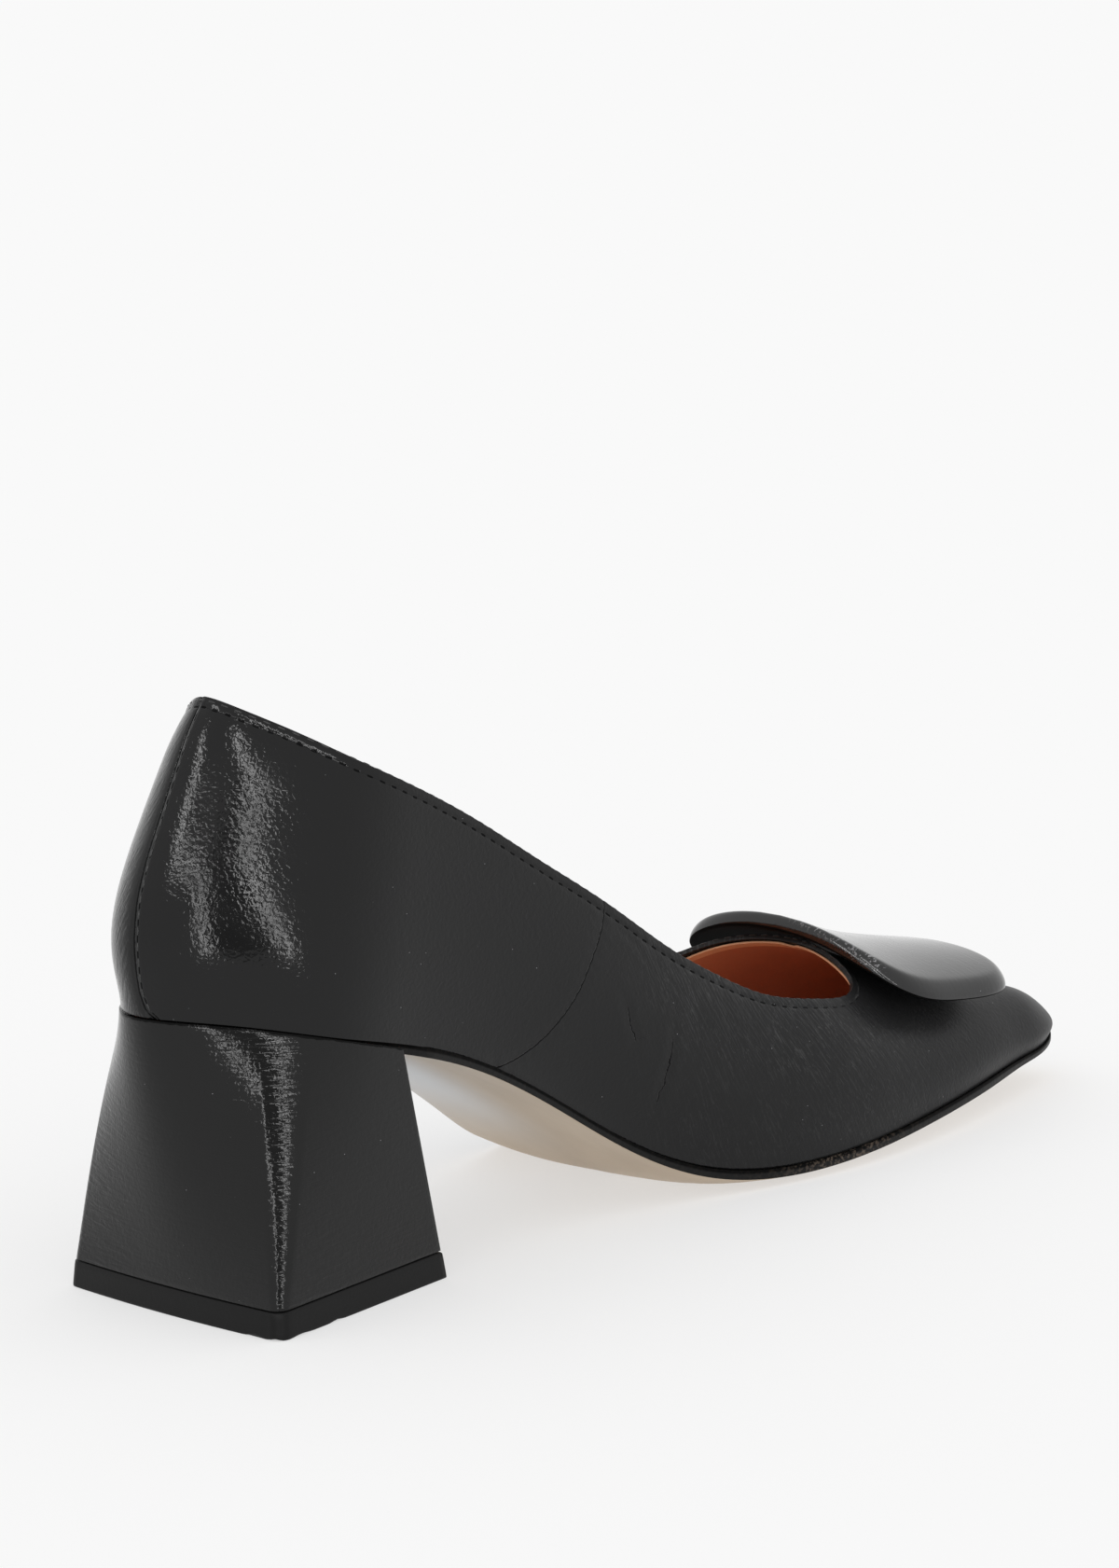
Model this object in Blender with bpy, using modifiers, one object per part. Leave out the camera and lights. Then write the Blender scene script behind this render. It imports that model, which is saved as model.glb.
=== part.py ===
"""A left block heel pump with a saddle plate on its vamp, as separate named solids at real size.

Frame: metres, +Z up, +X towards the toe, +Y towards the outer (lateral) side of the foot.
The heel's middle line is the X axis. Tables give millimetres and shares, and MM turns them into metres.
"""
import math

import bmesh
import bpy
import numpy as np

MM = 0.001

# Driving dimensions
LENGTH = 245.5 * MM
BALL_WIDTH = 74.0 * MM
HEEL_HEIGHT = 59.6 * MM
INSTEP = 152.0 * MM
WALL = 1.8 * MM
GAP = 0.3 * MM

# Middle of the finished shoe in plan: the parts move by it, so that the origin is under the middle
MIDDLE_X = 121.3 * MM
MIDDLE_Y = 0.65 * MM

# Sole leather, insole board and heel tip
SOLE_EDGE = 1.75 * MM
SOLE_EDGE_AT_TOE = 0.8 * MM
TOE_TAPER = 0.84 * LENGTH
SOLE_CROWN = 3.6 * MM
INNER_CROWN = 1.3 * MM
CROWN_WIDTH = 40.0 * MM
CROWN_START = 0.41 * LENGTH
CROWN_FULL = 0.555 * LENGTH
CROWN_FADE = 0.74 * LENGTH
CROWN_LEFT_AT_TOE = 0.2
SOLE_MARGIN = 0.5 * MM
SOLE_SEAT_INSET = 1.6 * MM
INSOLE_INSET = 2.7 * MM
INSOLE_LIFT = 0.2 * MM
INSOLE_THICK = 2.4 * MM
LIFT_THICK = 5.3 * MM

# Block heel: a flared block, wider at the floor than at the seat
HEEL_BREAST_TOP = 41.5 * MM
SEAT_ENDS = HEEL_BREAST_TOP + 1.0 * MM
WAIST_STARTS = HEEL_BREAST_TOP + 9.0 * MM
SEAT_ROOM_HEIGHT = 8.0 * MM
HEEL_FOOT_BACK = 3.2 * MM
HEEL_FOOT_FRONT = 52.2 * MM
HEEL_FOOT_BACK_WIDTH = 61.0 * MM
HEEL_FOOT_FRONT_WIDTH = 50.5 * MM
HEEL_FOOT_CORNER = 2.6 * MM
HEEL_FOOT_BOW = 1.2 * MM
HEEL_TOP_MARGIN = 0.3 * MM
HEEL_FOOT_STEP = 0.2 * MM
LIFT_FLARE = 0.5 * MM

# Saddle plate on the vamp: a rounded square in plan, with a rolled edge
PLATE_MIDDLE = 194.7 * MM
PLATE_SIDEWAYS = -3.6 * MM
PLATE_HALF_LENGTH = 22.7 * MM
PLATE_HALF_WIDTH = 31.4 * MM
PLATE_SQUARENESS = 4.1
PLATE_TURN = 0.03
PLATE_THICK = 3.6 * MM
PLATE_EDGE = 1.6 * MM

# How high it lies over the crest: its back edge lies along the throat, its front stands off,
# its sides drop, most at the back, and it leans and twists a little
PLATE_LIFT = 2.28 * MM
PLATE_TILT = 1.9 * MM
PLATE_BOW = 0.4 * MM
PLATE_DROP = 7.4 * MM
PLATE_DROP_EASE = 1.0 * MM
PLATE_LEAN = -0.9 * MM
PLATE_TWIST = -2.0 * MM

# Ends of the middle line that the sections of the last turn around, how softly they do,
# and the height over which the walls begin to lean forwards
HEEL_CENTRE = 26.0 * MM
TOE_CENTRE = 234.0 * MM
FAN_SOFTNESS = 4.0 * MM
LEAN_START = 6.0 * MM

# The last's bottom edge and side walls, a row for each section from the back seam to the toe.
# along is a share of LENGTH, medial and lateral of BALL_WIDTH, the two lifts of HEEL_HEIGHT,
# belly is how far the wall swells past that edge (mm), belly_at where (share of the section's height),
# fullness is the section's roundness (2 is an ellipse) and lean its forward slope.
LAST_COLUMNS = ("along", "medial", "lateral", "lift_medial", "lift_lateral",
                "belly", "belly_at", "fullness", "lean")
LAST = {
    "back":        (-0.0063, 0.000, 0.000, 1.000, 1.000, 4.7, 0.23, 1.83, 0.259),
    "heel_turn":   (0.0351, -0.213, 0.213, 0.973, 0.973, 3.6, 0.23, 1.85, 0.257),
    "heel_side":   (0.106, -0.354, 0.354, 0.899, 0.899, 1.7, 0.23, 2.0, 0.240),
    "seat_front":  (0.179, -0.351, 0.358, 0.815, 0.809, 1.8, 0.24, 2.2, 0.195),
    "waist_back":  (0.265, -0.328, 0.357, 0.678, 0.687, 2.8, 0.28, 2.3, 0.145),
    "waist":       (0.348, -0.318, 0.372, 0.480, 0.488, 4.2, 0.32, 2.4, 0.100),
    "waist_front": (0.428, -0.332, 0.412, 0.264, 0.261, 4.8, 0.34, 2.5, 0.055),
    "ball_back":   (0.501, -0.382, 0.462, 0.118, 0.076, 3.6, 0.34, 2.5, 0.020),
    "tread":       (0.570, -0.446, 0.500, 0.066, 0.048, 2.2, 0.33, 2.4, 0.005),
    "ball":        (0.648, -0.490, 0.495, 0.070, 0.059, 1.6, 0.32, 2.2, 0.000),
    "vamp":        (0.745, -0.482, 0.412, 0.100, 0.078, 1.4, 0.30, 2.05, 0.000),
    "toe_back":    (0.835, -0.440, 0.262, 0.132, 0.110, 1.3, 0.30, 2.1, 0.000),
    "toe_side":    (0.915, -0.373, 0.057, 0.147, 0.137, 1.2, 0.32, 2.3, 0.000),
    "toe_turn":    (0.969, -0.314, -0.100, 0.153, 0.152, 1.2, 0.34, 2.4, 0.000),
    "toe":         (0.996, -0.218, -0.218, 0.164, 0.164, 1.2, 0.32, 2.3, 0.000),
}

# The last's middle line and crest, as shares of LENGTH, BALL_WIDTH and INSTEP
CREST_COLUMNS = ("along", "sideways", "height")
CREST = {
    "heel":        (0.090, 0.000, 0.993),
    "seat":        (0.183, 0.000, 0.974),
    "waist_back":  (0.265, 0.003, 0.908),
    "waist":       (0.346, 0.005, 0.803),
    "waist_front": (0.428, 0.008, 0.658),
    "ball_back":   (0.501, 0.008, 0.513),
    "tread":       (0.570, 0.003, 0.390),
    "ball":        (0.648, -0.014, 0.331),
    "vamp":        (0.745, -0.060, 0.250),
    "toe_back":    (0.835, -0.122, 0.194),
    "toe_side":    (0.915, -0.178, 0.157),
    "toe":         (0.965, -0.208, 0.131),
}

# The topline drawn on the last, from the back seam to the middle of the throat: along as a share
# of LENGTH, and on each side its height as a share of the section's height there
TOPLINE_COLUMNS = ("along", "medial", "lateral")
TOPLINE = {
    "back":          (-0.0063, 0.634, 0.634),
    "heel_turn":     (0.026, 0.602, 0.602),
    "heel_side":     (0.088, 0.543, 0.543),
    "seat_front":    (0.163, 0.489, 0.489),
    "waist_back":    (0.248, 0.463, 0.463),
    "waist":         (0.329, 0.469, 0.469),
    "quarter":       (0.411, 0.519, 0.519),
    "ball_back":     (0.491, 0.579, 0.579),
    "tread":         (0.557, 0.644, 0.619),
    "throat_in":     (0.629, 0.664, 0.677),
    "throat_turn":   (0.683, 0.704, 0.717),
    "throat_corner": (0.707, 0.790, 0.875),
    "throat_side":   (0.7186, 0.950, 0.970),
    "throat":        (0.7236, 1.000, 1.000),
}

# Edges that turn by more than this are shaded sharp
SHARP_EDGE = math.radians(40)

# How finely the solids are cut
SECTION_ROWS = 11
TOPLINE_LINES = 38
LINE_CROWDING = 0.45
CREST_LINES = 13
LINES_SPREAD_FROM = 0.45
LINES_SPREAD_OVER = 0.25
LINES_SPREAD = 0.35
SOLE_COLUMNS = 6
HEEL_BACK_LINES = 10
HEEL_CORNER_LINES = 6
HEEL_SIDE_LINES = 10
HEEL_LINES = HEEL_BACK_LINES + HEEL_CORNER_LINES + HEEL_SIDE_LINES
HEEL_RINGS = 4
BREAST_LINES = 6
PLATE_SPOKES = 40
PLATE_RINGS = 6
PLATE_EDGE_CUTS = 3

# Finish of each sub-part: base colour and roughness
FINISHES = {
    "upper": ((0.020, 0.020, 0.021), 0.25),
    "outsole": ((0.62, 0.48, 0.36), 0.50),
    "insole": ((0.55, 0.22, 0.08), 0.60),
    "heel": ((0.018, 0.018, 0.019), 0.25),
    "top_lift": ((0.015, 0.015, 0.015), 0.60),
    "saddle_plate": ((0.022, 0.022, 0.023), 0.22),
}


def column(table, names, wanted):
    return np.array([row[names.index(wanted)] for row in table.values()])


def smooth_curve(knots, values, period=None):
    """A curve with even bending through values at knots. With a period it closes on itself."""
    knots = np.asarray(knots, float)
    values = np.asarray(values, float)
    if period:
        knots = np.append(knots, knots[0] + period)
        values = np.append(values, values[0])
    steps = np.diff(knots)
    slopes = np.diff(values) / steps
    count = len(knots)
    system = np.zeros((count, count))
    right = np.zeros(count)
    for i in range(1, count - 1):
        system[i, i - 1:i + 2] = steps[i - 1], 2 * (steps[i - 1] + steps[i]), steps[i]
        right[i] = 6 * (slopes[i] - slopes[i - 1])
    system[0, 0] = system[-1, -1] = 1
    if period:
        system[0, -1] = -1
        system[-1, [0, 1]] = 2 * steps[0], steps[0]
        system[-1, [-2, -1]] = steps[-1], 2 * steps[-1]
        right[-1] = 6 * (slopes[0] - slopes[-1])
    bends = np.linalg.solve(system, right)

    def curve(at):
        at = np.asarray(at, float)
        if period:
            at = (at - knots[0]) % period + knots[0]
        i = np.clip(np.searchsorted(knots, at) - 1, 0, count - 2)
        before, after, step = at - knots[i], knots[i + 1] - at, steps[i]
        return ((bends[i] * after ** 3 + bends[i + 1] * before ** 3) / (6 * step)
                + (values[i] / step - bends[i] * step / 6) * after
                + (values[i + 1] / step - bends[i + 1] * step / 6) * before)

    return curve


class Last:
    """The form that the shoe is built around. round runs from 0 at the back seam to 1 at the toe,
    positive on the lateral side and negative on the medial side. height runs from 0 at the bottom
    edge to 1 at the crest."""

    def __init__(self):
        along = column(LAST, LAST_COLUMNS, "along") * LENGTH
        medial = column(LAST, LAST_COLUMNS, "medial") * BALL_WIDTH
        lateral = column(LAST, LAST_COLUMNS, "lateral") * BALL_WIDTH
        girth = (np.hypot(np.diff(along), np.diff(medial)) + np.hypot(np.diff(along), np.diff(lateral))) / 2
        stations = np.append(0, np.cumsum(girth)) / girth.sum()
        self.knots = np.append(-stations[::-1], stations[1:-1])

        def both(on_medial, on_lateral):
            values = np.append(on_medial[::-1], on_lateral[1:-1])
            return smooth_curve(self.knots, values, period=2.0)

        def shared(name, unit=1.0):
            values = column(LAST, LAST_COLUMNS, name) * unit
            return both(values, values)

        self.x = both(along, along)
        self.y = both(medial, lateral)
        self.z = both(column(LAST, LAST_COLUMNS, "lift_medial") * HEEL_HEIGHT,
                      column(LAST, LAST_COLUMNS, "lift_lateral") * HEEL_HEIGHT)
        self.belly = shared("belly", MM)
        self.belly_at = shared("belly_at")
        self.fullness = shared("fullness")
        self.lean = shared("lean")
        crest_along = column(CREST, CREST_COLUMNS, "along") * LENGTH
        self.middle = smooth_curve(crest_along, column(CREST, CREST_COLUMNS, "sideways") * BALL_WIDTH)
        self.crest = smooth_curve(crest_along, column(CREST, CREST_COLUMNS, "height") * INSTEP)
        rounds = np.linspace(0, 1, 401)
        self.round_at = lambda x: np.interp(x, self.x(rounds), rounds)

    def spine(self, around):
        """The point of the middle line that the section there turns around."""
        x = self.x(around)
        x = HEEL_CENTRE + FAN_SOFTNESS * np.logaddexp(0, (x - HEEL_CENTRE) / FAN_SOFTNESS)
        x = TOE_CENTRE - FAN_SOFTNESS * np.logaddexp(0, (TOE_CENTRE - x) / FAN_SOFTNESS)
        return x, self.middle(x), self.crest(x)

    def point(self, around, height):
        """A point of the outer surface."""
        around = np.asarray(around, float)
        height = np.asarray(height, float)
        spine_x, spine_y, crest = self.spine(around)
        out_x, out_y = self.x(around) - spine_x, self.y(around) - spine_y
        reach = np.maximum(np.hypot(out_x, out_y), 1e-9)
        full = self.fullness(around)
        taper = np.clip(1 - height ** full, 0, 1) ** (1 / full)
        swell = height / self.belly_at(around)
        swell = self.belly(around) * (swell * np.exp(1 - swell)) ** 2
        share = taper + swell * taper / reach
        rise = (crest - self.z(around)) * height
        forwards = self.lean(around) * rise ** 2 / (rise + LEAN_START)
        slope = (self.crest(spine_x + MM) - self.crest(spine_x - MM)) / (2 * MM)
        fall = slope * np.maximum(out_x, 0) * share * height
        return np.stack([spine_x + out_x * share + forwards,
                         spine_y + out_y * share,
                         self.z(around) + rise + fall], axis=-1)

    def bottom(self, around, outwards=0.0):
        """A point of the bottom edge, moved outwards in plan."""
        step = 1e-3
        x, y = self.x(around), self.y(around)
        ahead_x = self.x(around + step) - self.x(around - step)
        ahead_y = self.y(around + step) - self.y(around - step)
        length = np.hypot(ahead_x, ahead_y)
        return np.stack([x - ahead_y / length * outwards,
                         y + ahead_x / length * outwards,
                         self.z(around)], axis=-1)


def arc_shares(points):
    steps = np.linalg.norm(np.diff(points, axis=0), axis=1)
    return np.append(0, np.cumsum(steps)) / steps.sum()


def topline_curve(last, side):
    """One side's topline as (round, height) against a share of its length."""
    around = last.round_at(column(TOPLINE, TOPLINE_COLUMNS, "along") * LENGTH)
    height = column(TOPLINE, TOPLINE_COLUMNS, side)
    shares = arc_shares(last.point(around, height))
    mirrored = np.append(-shares[:0:-1], shares)
    around_curve = smooth_curve(mirrored, np.append(-around[:0:-1], around))
    height_curve = smooth_curve(mirrored, np.append(height[:0:-1], height))
    return lambda share: (around_curve(share), np.clip(height_curve(share), 0, 1))


def upper_lines(last, side="lateral"):
    """For each line up one side: where it starts on the bottom edge, where it ends, and how high."""
    share = np.linspace(0, 1, TOPLINE_LINES + 1)
    share = share - LINE_CROWDING * np.sin(2 * math.pi * share) / (2 * math.pi)
    top_round, top_height = topline_curve(last, side)(share)
    top_round, top_height = np.array(top_round), np.array(top_height)
    top_height[-1] = 1.0
    crest_round = np.linspace(top_round[-1], 1, CREST_LINES + 1)[1:]
    top_round = np.append(top_round, crest_round)
    top_height = np.append(top_height, np.ones(CREST_LINES))
    along = np.linspace(0, 1, 600)
    low_shares = arc_shares(last.bottom(along))
    top_shares = arc_shares(last.point(top_round, top_height))
    even = np.interp(top_shares, low_shares, along)
    spread = LINES_SPREAD * np.clip((top_round - LINES_SPREAD_FROM) / LINES_SPREAD_OVER, 0, 1)
    low_round = top_round + (even - top_round) * spread * (1 - top_round)
    return low_round, top_round, top_height


def finish(name):
    """The sub-part's own material."""
    colour, roughness = FINISHES[name]
    made = bpy.data.materials.new(name)
    made.use_nodes = True
    shader = made.node_tree.nodes["Principled BSDF"]
    shader.inputs["Base Color"].default_value = (*colour, 1.0)
    shader.inputs["Roughness"].default_value = roughness
    shader.inputs["Metallic"].default_value = 0.0
    made.diffuse_color = (*colour, 1.0)
    return made


def new_part(mesh, collection):
    part = bpy.data.objects.new(mesh.name, mesh)
    mesh.materials.append(finish(mesh.name))
    collection.objects.link(part)
    return part


def add_wall(part, thickness, offset):
    """Give an open sheet its thickness: offset is -1 for inwards and 1 for outwards."""
    wall = part.modifiers.new("wall", "SOLIDIFY")
    wall.thickness = thickness
    wall.offset = offset
    wall.use_even_offset = True
    wall.use_rim = True


def mesh_from(name, points, faces, merge=1e-6):
    mesh = bpy.data.meshes.new(name)
    mesh.from_pydata([tuple(map(float, p)) for p in points], [], faces)
    work = bmesh.new()
    work.from_mesh(mesh)
    bmesh.ops.remove_doubles(work, verts=work.verts, dist=merge)
    bmesh.ops.dissolve_degenerate(work, edges=work.edges, dist=merge)
    bmesh.ops.recalc_face_normals(work, faces=work.faces)
    if work.calc_volume(signed=True) < 0:
        bmesh.ops.reverse_faces(work, faces=work.faces)
    work.to_mesh(mesh)
    work.free()
    mesh.shade_smooth()
    mesh.set_sharp_from_angle(angle=SHARP_EDGE)
    return mesh


def grid_faces(rows, columns, start=0, turned=False):
    faces = []
    for i in range(rows - 1):
        for j in range(columns - 1):
            a = start + i * columns + j
            quad = (a, a + 1, a + columns + 1, a + columns)
            faces.append(quad[::-1] if turned else quad)
    return faces


def skin_between(name, top, bottom):
    """A closed solid between two grids of points of the same size, with walls along their edges."""
    rows, columns = top.shape[:2]
    points = np.concatenate([top.reshape(-1, 3), bottom.reshape(-1, 3)])
    below = rows * columns
    faces = grid_faces(rows, columns) + grid_faces(rows, columns, below, turned=True)
    rim = list(range(columns))
    rim += [i * columns + columns - 1 for i in range(1, rows)]
    rim += [(rows - 1) * columns + j for j in range(columns - 2, -1, -1)]
    rim += [i * columns for i in range(rows - 2, 0, -1)]
    for a, b in zip(rim, rim[1:] + rim[:1]):
        faces.append((b, a, a + below, b + below))
    return mesh_from(name, points, faces)


def upper_surface(last):
    """The upper's outer face as an open sheet: two sides joined at back seam, crest and toe."""
    rise = np.linspace(0, 1, SECTION_ROWS + 1)[None, :]
    blend = rise ** 1.5
    sides = []
    for side, sign in (("lateral", 1), ("medial", -1)):
        low_round, top_round, top_height = upper_lines(last, side)
        around = low_round[:, None] + (top_round - low_round)[:, None] * blend
        height = np.sin(rise * np.arcsin(top_height)[:, None])
        sides.append(last.point(sign * around, height))
    points = np.concatenate([side.reshape(-1, 3) for side in sides])
    rows, columns = sides[0].shape[:2]
    faces = grid_faces(rows, columns) + grid_faces(rows, columns, rows * columns, turned=True)
    return mesh_from("upper", points, faces, merge=2e-5)


def make_upper(last, collection):
    upper = new_part(upper_surface(last), collection)
    add_wall(upper, WALL, -1.0)


def fade(value, start, end):
    """0 before start, 1 after end, and smooth between."""
    share = np.clip((value - start) / (end - start), 0, 1)
    return share * share * (3 - 2 * share)


def sole_grid(last, outset, depth, crown):
    """Points across the shoe's bottom, from the medial to the lateral edge, a row for each section."""
    rounds = upper_lines(last)[0]
    across = np.linspace(-1, 1, SOLE_COLUMNS + 1)
    rows = []
    for around in rounds:
        low = last.bottom(-around, outset(around))
        high = last.bottom(around, outset(around))
        low, high = low + (0, 0, -depth(around)), high + (0, 0, -depth(around))
        row = low + (high - low) * (across[:, None] + 1) / 2
        width = np.linalg.norm(high - low)
        row[:, 2] -= crown(around) * fade(width, 0, CROWN_WIDTH) * (1 - np.abs(across) ** 3)
        rows.append(row)
    return np.array(rows)


def seat_share(last, around):
    """1 over the heel seat, 0 in front of the heel's breast."""
    return 1 - fade(last.x(around), SEAT_ENDS, WAIST_STARTS)


def sole_outset(last):
    def outset(around):
        return SOLE_MARGIN - (SOLE_MARGIN + SOLE_SEAT_INSET) * seat_share(last, around)
    return outset


def sole_crown(last, deepest):
    """How far the bottom bows down across the shoe: most under the ball, least at the toe."""
    def crown(around):
        x = last.x(around)
        towards_toe = 1 - (1 - CROWN_LEFT_AT_TOE) * fade(x, CROWN_FADE, LENGTH)
        return deepest * fade(x, CROWN_START, CROWN_FULL) * towards_toe
    return crown


def sole_edge(last):
    """How thick the sole's edge is: it tapers towards the toe."""
    def edge(around):
        return SOLE_EDGE - (SOLE_EDGE - SOLE_EDGE_AT_TOE) * fade(last.x(around), TOE_TAPER, LENGTH)
    return edge


def make_outsole(last, collection):
    outset, edge = sole_outset(last), sole_edge(last)
    top = sole_grid(last, outset, lambda around: GAP, sole_crown(last, INNER_CROWN))
    bottom = sole_grid(last, outset, lambda around: GAP + edge(around), sole_crown(last, SOLE_CROWN))
    bottom[..., 2] = np.maximum(bottom[..., 2], 0.0)
    new_part(skin_between("outsole", top, bottom), collection)


def make_insole(last, collection):
    def outset(around):
        return -INSOLE_INSET
    crown = sole_crown(last, INNER_CROWN)
    top = sole_grid(last, outset, lambda around: -INSOLE_THICK, crown)
    bottom = sole_grid(last, outset, lambda around: -INSOLE_LIFT, crown)
    new_part(skin_between("insole", top, bottom), collection)


def heel_seat_outline(last):
    """Half of the heel's top edge, from the back seam to the middle of the breast, on the lateral side."""
    front = last.round_at(HEEL_BREAST_TOP)
    side = last.bottom(np.linspace(0, front, HEEL_LINES + 1), HEEL_TOP_MARGIN)
    side[:, 2] -= GAP
    shares = np.linspace(1, 0, BREAST_LINES + 1)[1:, None]
    breast = side[-1] * (1, 0, 1) + side[-1] * (0, 1, 0) * shares
    return np.concatenate([side, breast])


def heel_foot_outline(grow=0.0, height=0.0):
    """Half of the heel's outline at the floor, matched point by point to the seat's."""
    back, front = HEEL_FOOT_BACK - grow, HEEL_FOOT_FRONT + grow
    back_half = HEEL_FOOT_BACK_WIDTH / 2 + grow
    front_half = HEEL_FOOT_FRONT_WIDTH / 2 + grow
    corner_x, corner_y = back + HEEL_FOOT_CORNER, back_half - HEEL_FOOT_CORNER

    def bowed(y):
        return back - HEEL_FOOT_BOW * (1 - (y / back_half) ** 2)

    across = np.linspace(0, corner_y, HEEL_BACK_LINES, endpoint=False)
    turn = np.linspace(0, math.pi / 2, HEEL_CORNER_LINES, endpoint=False)
    along = np.linspace(0, 1, HEEL_SIDE_LINES + 1)
    breast = np.linspace(1, 0, BREAST_LINES + 1)[1:]
    x = np.concatenate([bowed(across),
                        corner_x - (corner_x - bowed(corner_y)) * np.cos(turn),
                        corner_x + (front - corner_x) * along,
                        np.full(BREAST_LINES, front)])
    y = np.concatenate([across,
                        corner_y + HEEL_FOOT_CORNER * np.sin(turn),
                        back_half + (front_half - back_half) * along,
                        front_half * breast])
    return np.stack([x, y, np.full(len(x), height)], axis=-1)


def lofted_block(name, rings):
    """A closed block through rings of half outlines, mirrored in the XZ plane, lowest ring last."""
    loops = []
    for half in rings:
        other = half[-2:0:-1] * (1, -1, 1)
        loops.append(np.concatenate([half, other]))
    count = len(loops[0])
    points = np.concatenate(loops)
    faces = []
    for level in range(len(loops) - 1):
        for i in range(count):
            a, b = level * count + i, level * count + (i + 1) % count
            faces.append((a, b, b + count, a + count))
    for base in (0, (len(loops) - 1) * count):
        for i in range(HEEL_LINES - 1):
            corners = (i, i + 1, count - i - 1, (count - i) % count)
            faces.append([base + spot for spot in dict.fromkeys(corners)])
        faces.append([base + i for i in range(HEEL_LINES - 1, count - HEEL_LINES + 2)])
    return mesh_from(name, points, faces)


def seat_cutter(last, collection):
    """The room that the sole needs in the heel's top, with the gap all round."""
    outset = sole_outset(last)

    def wider(around):
        return outset(around) + GAP

    top = sole_grid(last, wider, lambda around: -SEAT_ROOM_HEIGHT, lambda around: 0.0)
    bottom = sole_grid(last, wider, lambda around: 2 * GAP + SOLE_EDGE, sole_crown(last, SOLE_CROWN))
    cutter = bpy.data.objects.new("seat_room", skin_between("seat_room", top, bottom))
    cutter.hide_render = True
    cutter.display_type = "WIRE"
    collection.objects.link(cutter)
    return cutter


def make_heel(last, collection, cutters):
    seat = heel_seat_outline(last)
    foot = heel_foot_outline(-LIFT_FLARE - HEEL_FOOT_STEP, LIFT_THICK + GAP)
    rings = [seat + (foot - seat) * share for share in np.linspace(0, 1, HEEL_RINGS)]
    heel = new_part(lofted_block("heel", rings), collection)
    cut = heel.modifiers.new("sole seat", "BOOLEAN")
    cut.operation = "DIFFERENCE"
    cut.object = seat_cutter(last, cutters)


def make_top_lift(collection):
    rings = [heel_foot_outline(-LIFT_FLARE, LIFT_THICK), heel_foot_outline()]
    new_part(lofted_block("top_lift", rings), collection)


def plate_sheet(last):
    """The plate's underside: a rounded square that follows the crest and drops towards its sides."""
    angles = np.linspace(0, 2 * math.pi, PLATE_SPOKES, endpoint=False)
    reach = np.append(0, np.repeat(np.linspace(0, 1, PLATE_RINGS + 1)[1:], PLATE_SPOKES))
    spokes = np.append(0, np.tile(angles, PLATE_RINGS))
    power = 2 / PLATE_SQUARENESS
    along = reach * np.sign(np.cos(spokes)) * np.abs(np.cos(spokes)) ** power
    across = reach * np.sign(np.sin(spokes)) * np.abs(np.sin(spokes)) ** power
    forwards = PLATE_HALF_LENGTH * along
    sideways = PLATE_HALF_WIDTH * across
    x = PLATE_MIDDLE + forwards - PLATE_TURN * sideways
    y = PLATE_SIDEWAYS + PLATE_TURN * forwards + sideways
    lift = PLATE_LIFT + PLATE_TILT * along - PLATE_BOW * along ** 2
    drop = (PLATE_DROP - PLATE_DROP_EASE * along) * across ** 2
    lean = (PLATE_LEAN + PLATE_TWIST * along) * across
    points = np.stack([x, y, last.crest(x) + lift - drop + lean], axis=-1)
    faces = []
    for spot in range(PLATE_SPOKES):
        ahead = (spot + 1) % PLATE_SPOKES
        faces.append((0, 1 + spot, 1 + ahead))
        for ring in range(PLATE_RINGS - 1):
            inner, outer = 1 + ring * PLATE_SPOKES, 1 + (ring + 1) * PLATE_SPOKES
            faces.append((inner + spot, outer + spot, outer + ahead, inner + ahead))
    return mesh_from("saddle_plate", points, faces)


def make_plate(last, collection):
    plate = new_part(plate_sheet(last), collection)
    add_wall(plate, PLATE_THICK, 1.0)
    rounded = plate.modifiers.new("rounded edge", "BEVEL")
    rounded.width = PLATE_EDGE
    rounded.segments = PLATE_EDGE_CUTS
    rounded.limit_method = "ANGLE"
    rounded.angle_limit = SHARP_EDGE


def main():
    for thing in list(bpy.data.objects):
        bpy.data.objects.remove(thing)
    parts = bpy.data.collections.new("block_heel_pump")
    cutters = bpy.data.collections.new("cutters")
    for collection in (parts, cutters):
        bpy.context.scene.collection.children.link(collection)
    last = Last()
    make_upper(last, parts)
    make_outsole(last, parts)
    make_insole(last, parts)
    make_heel(last, parts, cutters)
    make_top_lift(parts)
    make_plate(last, parts)
    for thing in list(parts.objects) + list(cutters.objects):
        thing.location = (-MIDDLE_X, -MIDDLE_Y, 0)


main()
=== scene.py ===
# %% [markdown]
# # A block heel pump in glossy black leather
# The real shoe is a left pump: an upper of thin crinkled leather pulled over a wooden form called the
# last, a beige leather sole, a block heel wrapped in the upper's leather and a leather plate that lies
# across the vamp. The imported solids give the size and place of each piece. This script draws each piece
# again on the same last, finely enough for folds, seams and stitches, and then gives it its finish.

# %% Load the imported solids
import math

import bmesh
import bpy
import numpy as np
from mathutils import Matrix, Vector, noise
from mathutils.bvhtree import BVHTree
from mathutils.kdtree import KDTree


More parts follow.
